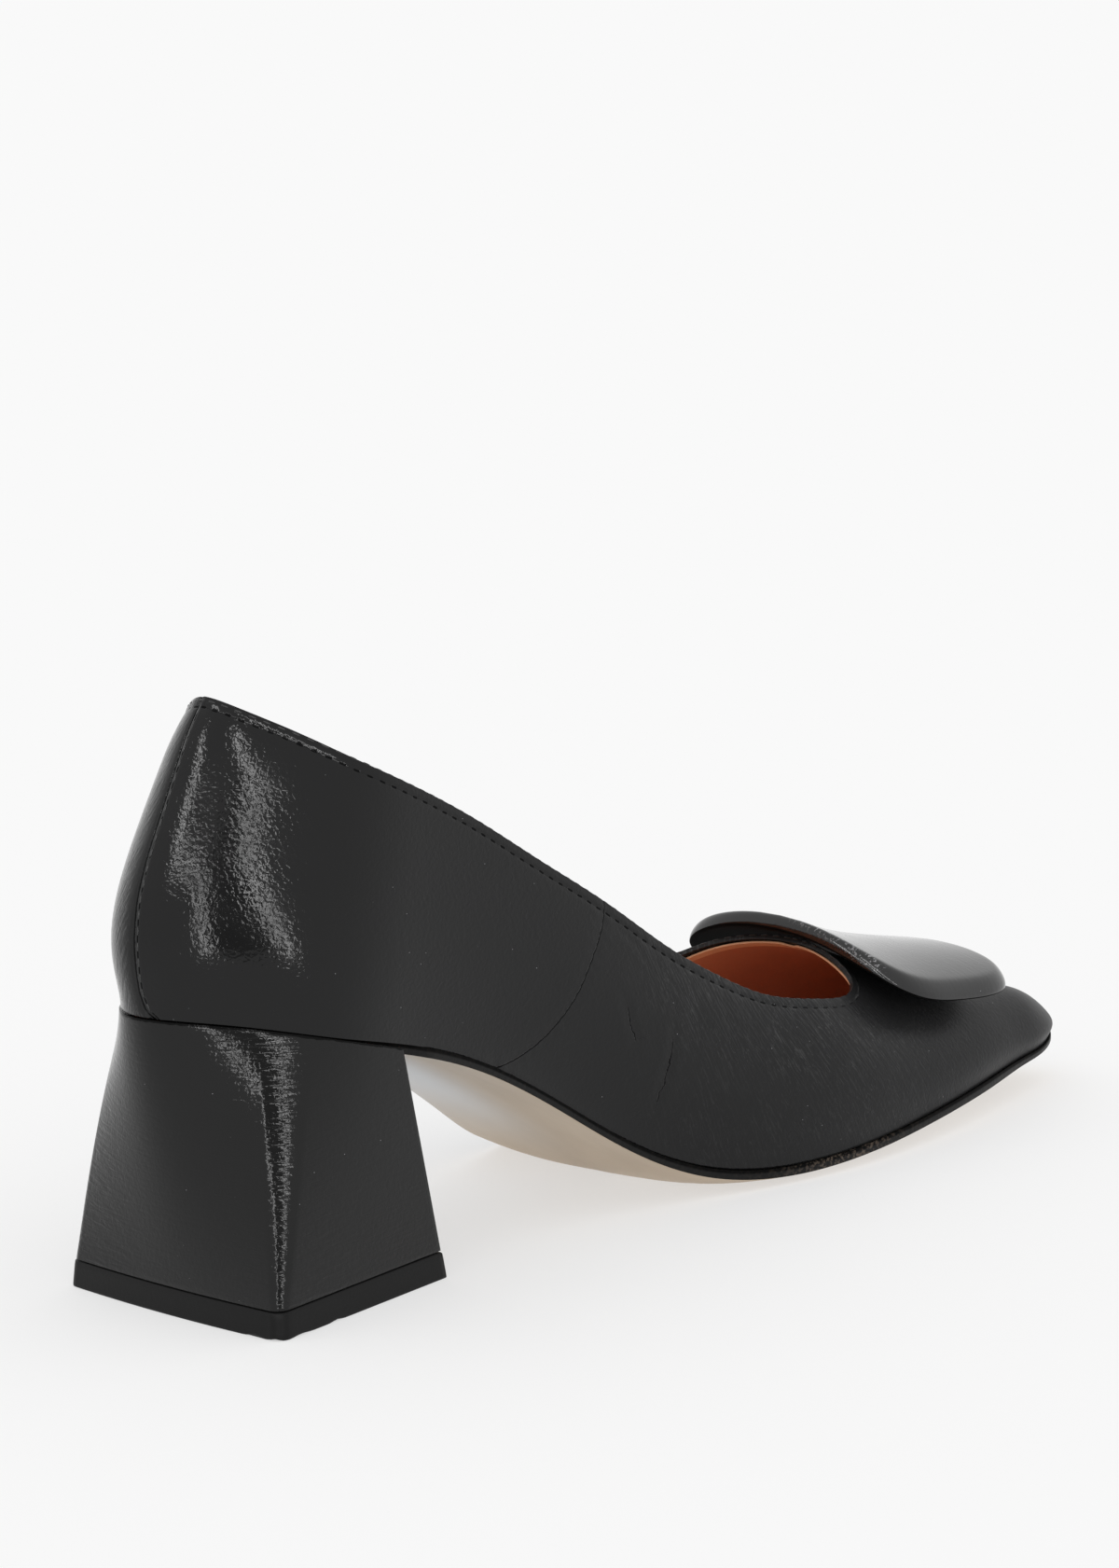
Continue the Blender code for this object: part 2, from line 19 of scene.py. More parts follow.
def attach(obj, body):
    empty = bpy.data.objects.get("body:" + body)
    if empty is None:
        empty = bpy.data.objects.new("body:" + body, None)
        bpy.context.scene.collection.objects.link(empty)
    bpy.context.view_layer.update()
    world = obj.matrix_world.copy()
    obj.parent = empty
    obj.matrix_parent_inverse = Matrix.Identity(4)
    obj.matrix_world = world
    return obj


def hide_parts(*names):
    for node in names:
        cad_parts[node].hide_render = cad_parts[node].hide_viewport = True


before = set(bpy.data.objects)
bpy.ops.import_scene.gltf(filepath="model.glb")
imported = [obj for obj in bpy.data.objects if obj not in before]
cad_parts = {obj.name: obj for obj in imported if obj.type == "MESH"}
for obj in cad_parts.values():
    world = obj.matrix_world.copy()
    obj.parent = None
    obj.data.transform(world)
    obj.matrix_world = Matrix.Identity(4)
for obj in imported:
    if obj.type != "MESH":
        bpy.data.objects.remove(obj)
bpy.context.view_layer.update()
MM = 0.001
scene = bpy.context.scene
print("solids:", ", ".join(sorted(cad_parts)))

# %% [markdown]
# ## Camera
# The picture was taken from behind the shoe and towards its inner side, a little above it, with a long
# lens and the camera tipped slightly. A camera is placed by its right, up and back directions, which are
# the three columns of its matrix.

# %% Camera
CAMERA_PLACE = (-0.7709, -0.7593, 0.3047)
CAMERA_TURN = math.radians(44.83)
CAMERA_DIP = math.radians(11.56)
CAMERA_ROLL = math.radians(-2.08)
LENS = 124.65
SENSOR = 36.0

ahead = Vector((math.cos(CAMERA_TURN) * math.cos(CAMERA_DIP),
                math.sin(CAMERA_TURN) * math.cos(CAMERA_DIP),
                -math.sin(CAMERA_DIP)))
level = ahead.cross(Vector((0, 0, 1))).normalized()
upright = level.cross(ahead)
right = level * math.cos(CAMERA_ROLL) + upright * math.sin(CAMERA_ROLL)
up = upright * math.cos(CAMERA_ROLL) - level * math.sin(CAMERA_ROLL)
camera = bpy.data.objects.new("camera", bpy.data.cameras.new("camera"))
camera.data.lens = LENS
camera.data.sensor_width = SENSOR
camera.data.clip_start = 0.05
scene.collection.objects.link(camera)
camera.matrix_world = Matrix.Translation(CAMERA_PLACE) @ Matrix((right, up, -ahead)).transposed().to_4x4()
scene.camera = camera
print("camera to the shoe:", round(Vector(CAMERA_PLACE).length, 3), "m")

# %% [markdown]
# ## Studio
# The shoe stands on a white light table in an even white room. Black leather shows hardly any colour of
# its own: what the eye sees on it is the room. Soft boxes close to the heel draw the pale streaks down its
# leather, and a grey card between them stands for the dark side of the room where the camera is. The boxes
# light nothing but reflections, so the floor stays even.

# %% Floor and world
ROOM_LIGHT = 0.93
FLOOR_SIZE = 40.0

world = bpy.data.worlds.new("white_room")
world.use_nodes = True
background = world.node_tree.nodes["Background"]
background.inputs["Color"].default_value = (1.0, 1.0, 1.0, 1.0)
background.inputs["Strength"].default_value = ROOM_LIGHT
scene.world = world
scene.view_settings.view_transform = "Standard"

bpy.ops.mesh.primitive_plane_add(size=FLOOR_SIZE)
floor = bpy.context.active_object
floor.name = "floor"
print("floor:", FLOOR_SIZE, "m across, room light:", ROOM_LIGHT)

# %% Soft boxes and grey card
STREAK_LIGHT = 10.0
STRIP_WIDTH = 0.036
NARROW_STRIP = 0.026
HEEL_MIDDLE = Vector((-0.110, -0.010, 0.080))
# low end, high end and width of each strip in metres
STRIPS = {
    "right_strip": ((-0.240, -0.540, 0.000), (-0.388, -0.371, 0.388), STRIP_WIDTH),
    "right_top_strip": ((-0.388, -0.371, 0.388), (-0.360, -0.205, 0.530), STRIP_WIDTH),
    "left_strip": ((-0.515, -0.375, 0.000), (-0.510, -0.285, 0.345), STRIP_WIDTH),
    "bent_strip": ((-0.520, -0.270, 0.350), (-0.565, -0.030, 0.395), NARROW_STRIP),
    "high_strip": ((-0.565, -0.030, 0.395), (-0.450, 0.130, 0.490), STRIP_WIDTH),
}
CARD_ENDS = (-0.425, -0.505, 0.000), (-0.520, -0.330, 0.420)
CARD_SIZE = 0.26, 0.46


def hide_from_all_but_gloss(thing):
    thing.visible_camera = False
    thing.visible_diffuse = False
    thing.visible_shadow = False


def facing_heel(low_end, high_end):
    """A place in the middle between two ends: Y runs from the low to the high end, Z away from the heel."""
    low_end, high_end = Vector(low_end), Vector(high_end)
    middle = (low_end + high_end) / 2
    rising = (high_end - low_end).normalized()
    sideways = rising.cross(middle - HEEL_MIDDLE).normalized()
    turned = Matrix((sideways, rising, sideways.cross(rising))).transposed()
    return Matrix.Translation(middle) @ turned.to_4x4()


def soft_box(name, low_end, high_end, width):
    """A long area light between two ends that faces the heel."""
    lamp = bpy.data.lights.new(name, "AREA")
    lamp.shape = "RECTANGLE"
    lamp.size = width
    lamp.size_y = (Vector(high_end) - Vector(low_end)).length
    lamp.energy = STREAK_LIGHT * math.pi * lamp.size * lamp.size_y
    box = bpy.data.objects.new(name, lamp)
    box.matrix_world = facing_heel(low_end, high_end)
    hide_from_all_but_gloss(box)
    scene.collection.objects.link(box)


for name, (low_end, high_end, width) in STRIPS.items():
    soft_box(name, low_end, high_end, width)

bpy.ops.mesh.primitive_plane_add(size=1.0)
card = bpy.context.active_object
card.name = "grey_card"
card.matrix_world = facing_heel(*CARD_ENDS) @ Matrix.Diagonal((*CARD_SIZE, 1.0, 1.0))
hide_from_all_but_gloss(card)

# %% [markdown]
# ## Helpers for finishes
# A finish is a small graph of shader nodes. The first helper adds one node: a plain value goes straight
# on the socket, and an output of another node is linked to it. The others are the steps that most finishes
# share, such as noise with a real size in metres, a smooth run between two values and a mix of two colours.

# %% Shader helpers
def add_node(tree, kind, inputs=(), **settings):
    made = tree.nodes.new(kind)
    for key, value in settings.items():
        setattr(made, key, value)
    for key, value in dict(inputs).items():
        if isinstance(value, bpy.types.NodeSocket):
            tree.links.new(value, made.inputs[key])
        else:
            made.inputs[key].default_value = value
    return made


def math_node(tree, operation, first, second=0.0, third=0.0):
    return add_node(tree, "ShaderNodeMath", {0: first, 1: second, 2: third}, operation=operation).outputs[0]


def ramp(tree, value, start, end, low, high):
    """low before start, high after end and a smooth run between them."""
    limits = {"Value": value, "From Min": start, "From Max": end, "To Min": low, "To Max": high}
    return add_node(tree, "ShaderNodeMapRange", limits, interpolation_type="SMOOTHSTEP").outputs["Result"]


def sized_noise(tree, vector, size, detail=2.0, roughness=0.5, angle=0.0, distortion=0.0):
    """Noise whose patches have a real size in metres, turned by angle in the vector's first two axes."""
    size = (size,) * 3 if isinstance(size, float) else size
    turned = {"Vector": vector, "Rotation": (0, 0, angle), "Scale": size}
    placed = add_node(tree, "ShaderNodeMapping", turned, vector_type="TEXTURE")
    made = add_node(tree, "ShaderNodeTexNoise",
                    {"Vector": placed.outputs[0], "Scale": 1.0, "Detail": detail,
                     "Roughness": roughness, "Distortion": distortion})
    return made.outputs["Fac"]


def toned(tree, value, dark, pale, start=0.0, end=1.0):
    """A colour that runs from dark to pale while the value goes from start to end."""
    made = add_node(tree, "ShaderNodeValToRGB", {"Fac": value})
    for stop, at, colour in zip(made.color_ramp.elements, (start, end), (dark, pale)):
        stop.position = at
        stop.color = (*colour, 1.0)
    return made.outputs["Color"]


def mixed(tree, share, first, second):
    """first where share is 0, second where it is 1. Each is three numbers or a colour from another node."""
    ends = [end if isinstance(end, bpy.types.NodeSocket) else (*end, 1.0) for end in (first, second)]
    made = add_node(tree, "ShaderNodeMix", {"Factor": share, "A": ends[0], "B": ends[1]}, data_type="RGBA")
    return made.outputs["Result"]


def new_finish(name, colour, roughness, specular=0.5):
    """A material, its node tree and its shader."""
    material = bpy.data.materials.new(name)
    material.use_nodes = True
    tree = material.node_tree
    shader = tree.nodes["Principled BSDF"]
    shader.inputs["Base Color"].default_value = (*colour, 1.0)
    shader.inputs["Roughness"].default_value = roughness
    shader.inputs["Specular IOR Level"].default_value = specular
    return material, tree, shader


def object_place(tree):
    return add_node(tree, "ShaderNodeTexCoord").outputs["Object"]


def stored(tree, name, output="Fac"):
    """A value kept on the mesh's points."""
    return add_node(tree, "ShaderNodeAttribute", attribute_name=name).outputs[output]


def bump(tree, shader, height, distance):
    made = add_node(tree, "ShaderNodeBump", {"Height": height, "Distance": distance})
    tree.links.new(made.outputs[0], shader.inputs["Normal"])


# %% Floor and card finishes
FLOOR_GREY = 0.46
FLOOR_GLOW = 0.52
CARD_GLOW = 0.35


def glowing_finish(name, grey, glow):
    """A matt finish that also gives off an even light."""
    material, _, shader = new_finish(name, (grey,) * 3, 0.9, 0.0)
    shader.inputs["Emission Color"].default_value = (1.0, 1.0, 1.0, 1.0)
    shader.inputs["Emission Strength"].default_value = glow
    return material


floor.data.materials.append(glowing_finish("light_table", FLOOR_GREY, FLOOR_GLOW))
card.data.materials.append(glowing_finish("grey_card", 0.0, CARD_GLOW))
print("stage:", floor.name, card.name)

# %% [markdown]
# ## The last
# A shoemaker starts from the last, and so does every piece here. Sections stand all round its bottom
# edge, from the back seam to the toe, and each is a rounded wall that rises to the crest. The tables hold
# the sections as shares of the shoe's main sizes, and smooth curves run between them.

# %% Tables of the last
LENGTH = 245.5 * MM
BALL_WIDTH = 74.0 * MM
HEEL_HEIGHT = 59.6 * MM
INSTEP = 152.0 * MM
GAP = 0.3 * MM
MIDDLE = np.array([121.3, 0.65, 0.0]) * MM
HEEL_CENTRE = 26.0 * MM
TOE_CENTRE = 234.0 * MM
FAN_SOFTNESS = 4.0 * MM
LEAN_START = 6.0 * MM

# along, medial, lateral, lift_medial, lift_lateral, belly, belly_at, fullness, lean
LAST = np.array([
    (-0.0063, 0.000, 0.000, 1.000, 1.000, 4.7, 0.23, 1.83, 0.259),
    (0.0351, -0.213, 0.213, 0.973, 0.973, 3.6, 0.23, 1.85, 0.257),
    (0.106, -0.354, 0.354, 0.899, 0.899, 1.7, 0.23, 2.0, 0.240),
    (0.179, -0.351, 0.358, 0.815, 0.809, 1.8, 0.24, 2.2, 0.195),
    (0.265, -0.328, 0.357, 0.678, 0.687, 2.8, 0.28, 2.3, 0.145),
    (0.348, -0.318, 0.372, 0.480, 0.488, 4.2, 0.32, 2.4, 0.100),
    (0.428, -0.332, 0.412, 0.264, 0.261, 4.8, 0.34, 2.5, 0.055),
    (0.501, -0.382, 0.462, 0.118, 0.076, 3.6, 0.34, 2.5, 0.020),
    (0.570, -0.446, 0.500, 0.066, 0.048, 2.2, 0.33, 2.4, 0.005),
    (0.648, -0.490, 0.495, 0.070, 0.059, 1.6, 0.32, 2.2, 0.000),
    (0.745, -0.482, 0.412, 0.100, 0.078, 1.4, 0.30, 2.05, 0.000),
    (0.835, -0.440, 0.262, 0.132, 0.110, 1.3, 0.30, 2.1, 0.000),
    (0.915, -0.373, 0.057, 0.147, 0.137, 1.2, 0.32, 2.3, 0.000),
    (0.969, -0.314, -0.100, 0.153, 0.152, 1.2, 0.34, 2.4, 0.000),
    (0.996, -0.218, -0.218, 0.164, 0.164, 1.2, 0.32, 2.3, 0.000),
]).T

# along, sideways, height of the crest
CREST = np.array([
    (0.090, 0.000, 0.993), (0.183, 0.000, 0.974), (0.265, 0.003, 0.908), (0.346, 0.005, 0.803),
    (0.428, 0.008, 0.658), (0.501, 0.008, 0.513), (0.570, 0.003, 0.390), (0.648, -0.014, 0.331),
    (0.745, -0.060, 0.250), (0.835, -0.122, 0.194), (0.915, -0.178, 0.157), (0.965, -0.208, 0.131),
]).T

# along of the topline from the back seam to the throat, its height on the medial and the lateral side
TOPLINE = np.array([
    (-0.0063, 0.634, 0.634), (0.026, 0.602, 0.602), (0.088, 0.543, 0.543), (0.163, 0.489, 0.489),
    (0.248, 0.463, 0.463), (0.329, 0.469, 0.469), (0.411, 0.519, 0.519), (0.491, 0.579, 0.579),
    (0.557, 0.644, 0.619), (0.629, 0.664, 0.677), (0.683, 0.704, 0.717), (0.707, 0.790, 0.875),
    (0.7186, 0.950, 0.970), (0.7236, 1.000, 1.000),
]).T


# %% Smooth curves
def smooth_curve(knots, values, period=None):
    """A curve with even bending through values at knots. With a period it closes on itself."""
    knots = np.asarray(knots, float)
    values = np.asarray(values, float)
    if period:
        knots = np.append(knots, knots[0] + period)
        values = np.append(values, values[0])
    steps = np.diff(knots)
    slopes = np.diff(values) / steps
    count = len(knots)
    system = np.zeros((count, count))
    right_side = np.zeros(count)
    for i in range(1, count - 1):
        system[i, i - 1:i + 2] = steps[i - 1], 2 * (steps[i - 1] + steps[i]), steps[i]
        right_side[i] = 6 * (slopes[i] - slopes[i - 1])
    system[0, 0] = system[-1, -1] = 1
    if period:
        system[0, -1] = -1
        system[-1, [0, 1]] = 2 * steps[0], steps[0]
        system[-1, [-2, -1]] = steps[-1], 2 * steps[-1]
        right_side[-1] = 6 * (slopes[0] - slopes[-1])
    bends = np.linalg.solve(system, right_side)

    def curve(at):
        at = np.asarray(at, float)
        if period:
            at = (at - knots[0]) % period + knots[0]
        i = np.clip(np.searchsorted(knots, at) - 1, 0, count - 2)
        before, after, step = at - knots[i], knots[i + 1] - at, steps[i]
        return ((bends[i] * after ** 3 + bends[i + 1] * before ** 3) / (6 * step)
                + (values[i] / step - bends[i] * step / 6) * after
                + (values[i + 1] / step - bends[i + 1] * step / 6) * before)

    return curve


def run_along(points):
    """How far along a line each of its points is."""
    return np.append(0, np.cumsum(np.linalg.norm(np.diff(points, axis=0), axis=1)))


def arc_shares(points):
    run = run_along(points)
    return run / run[-1]


def fade(value, start, end):
    """0 before start, 1 after end, and smooth between."""
    share = np.clip((value - start) / (end - start), 0, 1)
    return share * share * (3 - 2 * share)


def ridge(distance, width):
    """A soft ridge: 1 on the line and nearly 0 two widths away."""
    return np.exp(-(distance / width) ** 2)


# %% The last's surface
class Last:
    """round runs from 0 at the back seam to 1 at the toe, positive on the lateral side and negative on
    the medial side. height runs from 0 at the bottom edge to 1 at the crest."""

    def __init__(self):
        along, medial, lateral = LAST[0] * LENGTH, LAST[1] * BALL_WIDTH, LAST[2] * BALL_WIDTH
        girth = (np.hypot(np.diff(along), np.diff(medial)) + np.hypot(np.diff(along), np.diff(lateral))) / 2
        self.girth = girth.sum()
        stations = np.append(0, np.cumsum(girth)) / self.girth
        knots = np.append(-stations[::-1], stations[1:-1])

        def both(on_medial, on_lateral):
            return smooth_curve(knots, np.append(on_medial[::-1], on_lateral[1:-1]), period=2.0)

        self.x = both(along, along)
        self.y = both(medial, lateral)
        self.z = both(LAST[3] * HEEL_HEIGHT, LAST[4] * HEEL_HEIGHT)
        self.belly = both(LAST[5] * MM, LAST[5] * MM)
        self.belly_at = both(LAST[6], LAST[6])
        self.fullness = both(LAST[7], LAST[7])
        self.lean = both(LAST[8], LAST[8])
        self.middle = smooth_curve(CREST[0] * LENGTH, CREST[1] * BALL_WIDTH)
        self.crest = smooth_curve(CREST[0] * LENGTH, CREST[2] * INSTEP)
        rounds = np.linspace(0, 1, 401)
        self.round_at = lambda x: np.interp(x, self.x(rounds), rounds)

    def spine(self, around):
        """The point of the middle line that the section there turns around."""
        x = self.x(around)
        x = HEEL_CENTRE + FAN_SOFTNESS * np.logaddexp(0, (x - HEEL_CENTRE) / FAN_SOFTNESS)
        x = TOE_CENTRE - FAN_SOFTNESS * np.logaddexp(0, (TOE_CENTRE - x) / FAN_SOFTNESS)
        return x, self.middle(x), self.crest(x)

    def point(self, around, height):
        """A point of the outer surface."""
        around = np.asarray(around, float)
        height = np.asarray(height, float)
        spine_x, spine_y, crest = self.spine(around)
        out_x, out_y = self.x(around) - spine_x, self.y(around) - spine_y
        reach = np.maximum(np.hypot(out_x, out_y), 1e-9)
        full = self.fullness(around)
        taper = np.clip(1 - height ** full, 0, 1) ** (1 / full)
        swell = height / self.belly_at(around)
        swell = self.belly(around) * (swell * np.exp(1 - swell)) ** 2
        share = taper + swell * taper / reach
        rise = (crest - self.z(around)) * height
        forwards = self.lean(around) * rise ** 2 / (rise + LEAN_START)
        slope = (self.crest(spine_x + MM) - self.crest(spine_x - MM)) / (2 * MM)
        fall = slope * np.maximum(out_x, 0) * share * height
        return np.stack([spine_x + out_x * share + forwards,
                         spine_y + out_y * share,
                         self.z(around) + rise + fall], axis=-1)

    def bottom(self, around, outwards=0.0):
        """A point of the bottom edge, moved outwards in plan."""
        around = np.asarray(around, float)
        step = 1e-3
        x, y = self.x(around), self.y(around)
        ahead_x = self.x(around + step) - self.x(around - step)
        ahead_y = self.y(around + step) - self.y(around - step)
        length = np.hypot(ahead_x, ahead_y)
        return np.stack([x - ahead_y / length * outwards,
                         y + ahead_x / length * outwards,
                         self.z(around)], axis=-1)


last = Last()
print("girth of half the bottom edge:", round(last.girth / MM, 1), "mm")


# %% [markdown]
# ## Helpers for meshes
# Pieces are made from whole grids of points at once. Values that a finish needs later, such as the way
# the leather runs or the distance to a seam, are kept on the points as attributes, so that a fine line
# stays sharp between points too.

# %% Mesh helpers
WELD = 0.02 * MM


def grid_faces(rows, columns, start=0, turned=False):
    """Four-cornered faces over a grid of points that is counted row by row."""
    first = start + np.arange(rows - 1)[:, None] * columns + np.arange(columns - 1)
    quads = np.stack([first, first + 1, first + columns + 1, first + columns], axis=-1).reshape(-1, 4)
    return quads[:, ::-1] if turned else quads


def keep_on_points(piece, name, values):
    values = np.asarray(values, np.float32)
    kind, field = ("FLOAT", "value") if values.ndim == 1 else ("FLOAT_VECTOR", "vector")
    made = piece.data.attributes.get(name) or piece.data.attributes.new(name, kind, "POINT")
    made.data.foreach_set(field, values.ravel())


def kept_on_points(piece, name):
    values = np.empty(len(piece.data.vertices), np.float32)
    piece.data.attributes[name].data.foreach_get("value", values)
    return values.astype(float)


def new_piece(name, points, faces, weld=WELD, **kept):
    """A smooth mesh in the shoe's place, with the points that meet joined into one."""
    mesh = bpy.data.meshes.new(name)
    mesh.from_pydata((np.asarray(points) - MIDDLE).tolist(), [], [list(face) for face in faces])
    piece = bpy.data.objects.new(name, mesh)
    scene.collection.objects.link(piece)
    for key, values in kept.items():
        keep_on_points(piece, key, values)
    work = bmesh.new()
    work.from_mesh(mesh)
    bmesh.ops.remove_doubles(work, verts=work.verts, dist=weld)
    work.to_mesh(mesh)
    work.free()
    mesh.shade_smooth()
    return piece


def points_of(piece):
    points = np.empty(len(piece.data.vertices) * 3, np.float32)
    piece.data.vertices.foreach_get("co", points)
    return points.reshape(-1, 3).astype(float)


def normals_of(piece):
    normals = np.empty(len(piece.data.vertices) * 3, np.float32)
    piece.data.vertex_normals.foreach_get("vector", normals)
    return normals.reshape(-1, 3).astype(float)


def set_points(piece, points):
    piece.data.vertices.foreach_set("co", points.astype(np.float32).ravel())
    piece.data.update()


def thicken(piece, thickness):
    """A wall that grows inwards from the sheet."""
    wall = piece.modifiers.new("thickness", "SOLIDIFY")
    wall.thickness = thickness
    wall.offset = -1.0


def round_edges(piece, width, angle=40):
    rounded = piece.modifiers.new("round edges", "BEVEL")
    rounded.width = width
    rounded.segments = 2
    rounded.limit_method = "ANGLE"
    rounded.angle_limit = math.radians(angle)


def put_on_shoe(piece, material_slot, *nodes):
    """The piece rides with the shoe and stands for the solids it repeats, which are hidden. material_slot
    is not used.
    """
    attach(piece, "root")
    if nodes:
        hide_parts(*nodes)
    print(piece.name, "points:", len(piece.data.vertices))


# %% [markdown]
# ## The upper's sheet
# The upper is one skin over the last, from the bottom edge to the topline. Lines run up it, close
# together at the back seam and at the throat, and rows crowd near the topline, where the folded edge and
# its stitches need them. Each point also keeps how far it is round the shoe and how far up, so that
# wrinkles can follow the leather.

# %% Lines up the last
MEDIAL, LATERAL = -1, 1
TOPLINE_LINES = 250
CREST_LINES = 56
LINE_CROWDING = 0.45
BOTTOM_SPOTS = 600
VAMP_SPREAD = 0.35
VAMP_START = 0.45
VAMP_RUN = 0.25


def topline(share, side):
    """(round, height) on the last against a share of the topline's length on one side."""
    around = last.round_at(TOPLINE[0] * LENGTH)
    height = TOPLINE[1] if side == MEDIAL else TOPLINE[2]
    shares = arc_shares(last.point(around, height))
    mirrored = np.append(-shares[:0:-1], shares)
    around_curve = smooth_curve(mirrored, np.append(-around[:0:-1], around))
    height_curve = smooth_curve(mirrored, np.append(height[:0:-1], height))
    return around_curve(share), np.clip(height_curve(share), 0, 1)


def upper_lines(side):
    """For each line up one side: where it starts on the bottom edge, where it ends, and how high."""
    share = np.linspace(0, 1, TOPLINE_LINES + 1)
    share = share - LINE_CROWDING * np.sin(2 * math.pi * share) / (2 * math.pi)
    top_round, top_height = topline(share, side)
    top_height[-1] = 1.0
    top_round = np.append(top_round, np.linspace(top_round[-1], 1, CREST_LINES + 1)[1:])
    top_height = np.append(top_height, np.ones(CREST_LINES))
    along = np.linspace(0, 1, BOTTOM_SPOTS)
    even = np.interp(arc_shares(last.point(top_round, top_height)), arc_shares(last.bottom(along)), along)
    spread = VAMP_SPREAD * np.clip((top_round - VAMP_START) / VAMP_RUN, 0, 1)
    return top_round + (even - top_round) * spread * (1 - top_round), top_round, top_height


# %% The upper's sheet
UPPER_ROWS = 56
ROW_CROWDING = 1.45
LINE_SWEEP = 1.5


def upper_side(side, trim):
    """One side's grid of points, and how far round and up the leather each of them is."""
    low, top, top_height = upper_lines(side)
    rise = np.tile(1 - (1 - np.linspace(0, 1, UPPER_ROWS + 1)) ** ROW_CROWDING, (len(low), 1))

    def grid(rise):
        around = low[:, None] + (top - low)[:, None] * rise ** LINE_SWEEP
        return around, last.point(side * around, np.sin(rise * np.arcsin(top_height)[:, None]))

    def up_steps(points):
        return np.linalg.norm(np.diff(points, axis=1), axis=-1)

    lengths = up_steps(grid(rise)[1]).sum(axis=1)
    short = np.where(np.arange(len(low)) > TOPLINE_LINES, 0, trim / lengths)
    around, points = grid(rise * (1 - short)[:, None])
    up_run = np.concatenate([np.zeros((len(low), 1)), np.cumsum(up_steps(points), axis=1)], axis=1)
    return points, np.stack([around * last.girth, up_run, np.zeros_like(around)], axis=-1)


def upper_sheet(name, trim=0.0):
    """The last's skin up to the topline, or to trim below it."""
    (lateral, lateral_run), (medial, medial_run) = upper_side(LATERAL, trim), upper_side(MEDIAL, trim)
    rows, columns = lateral.shape[:2]
    points = np.concatenate([lateral.reshape(-1, 3), medial.reshape(-1, 3)])
    medial_faces = grid_faces(rows, columns, rows * columns, turned=True)
    faces = np.concatenate([grid_faces(rows, columns), medial_faces])
    run = np.concatenate([lateral_run.reshape(-1, 3), medial_run.reshape(-1, 3)])
    return new_piece(name, points, faces, run=run)


upper = upper_sheet("upper_leather")
print("upper sheet:", len(upper.data.polygons), "faces")

# %% [markdown]
# ## Lines on the upper
# Seams and creases are listed. A line is given by spots in the side view, in millimetres from the
# heel's back and from the floor, and rays from the side put it on the leather. The topline is known from
# the last, and the row of stitches runs a little below it.

# %% Seam and crease lines
STITCH_ROW = 1.95 * MM
SIDE_SEAM = [(99.4, 68.0), (98.6, 63.9), (96.9, 60.5), (93.4, 55.6), (89.3, 49.8), (84.7, 44.9),
             (79.4, 41.0), (73.5, 38.9), (68.0, 38.2)]
# spots, depth in mm, half width in mm
CREASES = [
    ([(100.8, 48.0), (102.2, 43.5), (103.5, 39.1), (104.6, 35.6)], 0.12, 0.9),
    ([(114.7, 41.2), (113.8, 37.1), (112.2, 29.9), (110.4, 24.2), (109.6, 20.5)], 0.18, 0.9),
    ([(100.1, 61.7), (106.0, 56.9), (110.0, 50.5)], 0.08, 0.8),
    ([(109.0, 57.2), (111.8, 52.0), (113.5, 47.9)], 0.07, 0.8),
    ([(119.5, 48.6), (121.1, 44.6), (121.6, 40.4)], 0.07, 0.9),
    ([(128.0, 42.6), (129.4, 37.6), (129.0, 32.0), (126.6, 25.0)], 0.06, 1.3),
]
# height and sideways place of the back seam, in mm: it turns to the inner side just above the heel
BACK_SEAM = np.array([
    (58.0, -5.4), (59.4, -4.0), (61.0, -2.3), (64.0, -1.4), (70.0, -1.4), (76.0, -1.0),
    (83.0, -0.1), (90.0, 0.3), (97.0, 0.4), (104.0, 0.7), (110.0, 1.0), (118.0, 1.6),
]) * MM
print(len(CREASES), "creases on each side")

# %% Put the lines on the leather
LINE_SPOTS = 240
TOPLINE_SPOTS = 1501
RAY_START = 0.2


def skin_of(piece):
    return BVHTree.FromObject(piece, bpy.context.evaluated_depsgraph_get())


def side_line(skin, side, spots):
    """Points on the skin of one side along a curve through the spots."""
    spots = np.array(spots) * MM
    shares = arc_shares(spots)
    even = np.linspace(0, 1, LINE_SPOTS)
    along = smooth_curve(shares, spots[:, 0])(even) - MIDDLE[0]
    height = smooth_curve(shares, spots[:, 1])(even)
    inwards = Vector((0, -side, 0))
    hits = [skin.ray_cast(Vector((x, side * RAY_START, z)), inwards)[0] for x, z in zip(along, height)]
    return np.array([hit for hit in hits if hit is not None])


def near_line(points, line):
    """For each point its distance to a line of close points, and how far along the line that is."""
    tree = KDTree(len(line))
    for i, spot in enumerate(line):
        tree.insert(spot, i)
    tree.balance()
    found = [tree.find(point) for point in points]
    return np.array([spot[2] for spot in found]), run_along(line)[[spot[1] for spot in found]]


def signed_gap(points, line):
    """As near_line, with the distance negative behind the line."""
    gap, run = near_line(points, line)
    order = np.argsort(line[:, 2])
    ahead_of = points[:, 0] > np.interp(points[:, 2], line[order, 2], line[order, 0])
    return np.where(ahead_of, gap, -gap), run


smooth_skin = skin_of(upper)
half_lines = []
for side in (MEDIAL, LATERAL):
    around, height = topline(np.linspace(0, 1, TOPLINE_SPOTS), side)
    half_lines.append(last.point(side * around, height) - MIDDLE)
topline_points = np.concatenate([half_lines[0][:0:-1], half_lines[1]])
side_seams = [side_line(smooth_skin, side, SIDE_SEAM) for side in (MEDIAL, LATERAL)]
crease_lines = [(side_line(smooth_skin, side, spots), depth * MM, width * MM)
                for side in (MEDIAL, LATERAL) for spots, depth, width in CREASES]
print("topline:", round(run_along(topline_points)[-1] / MM), "mm round")

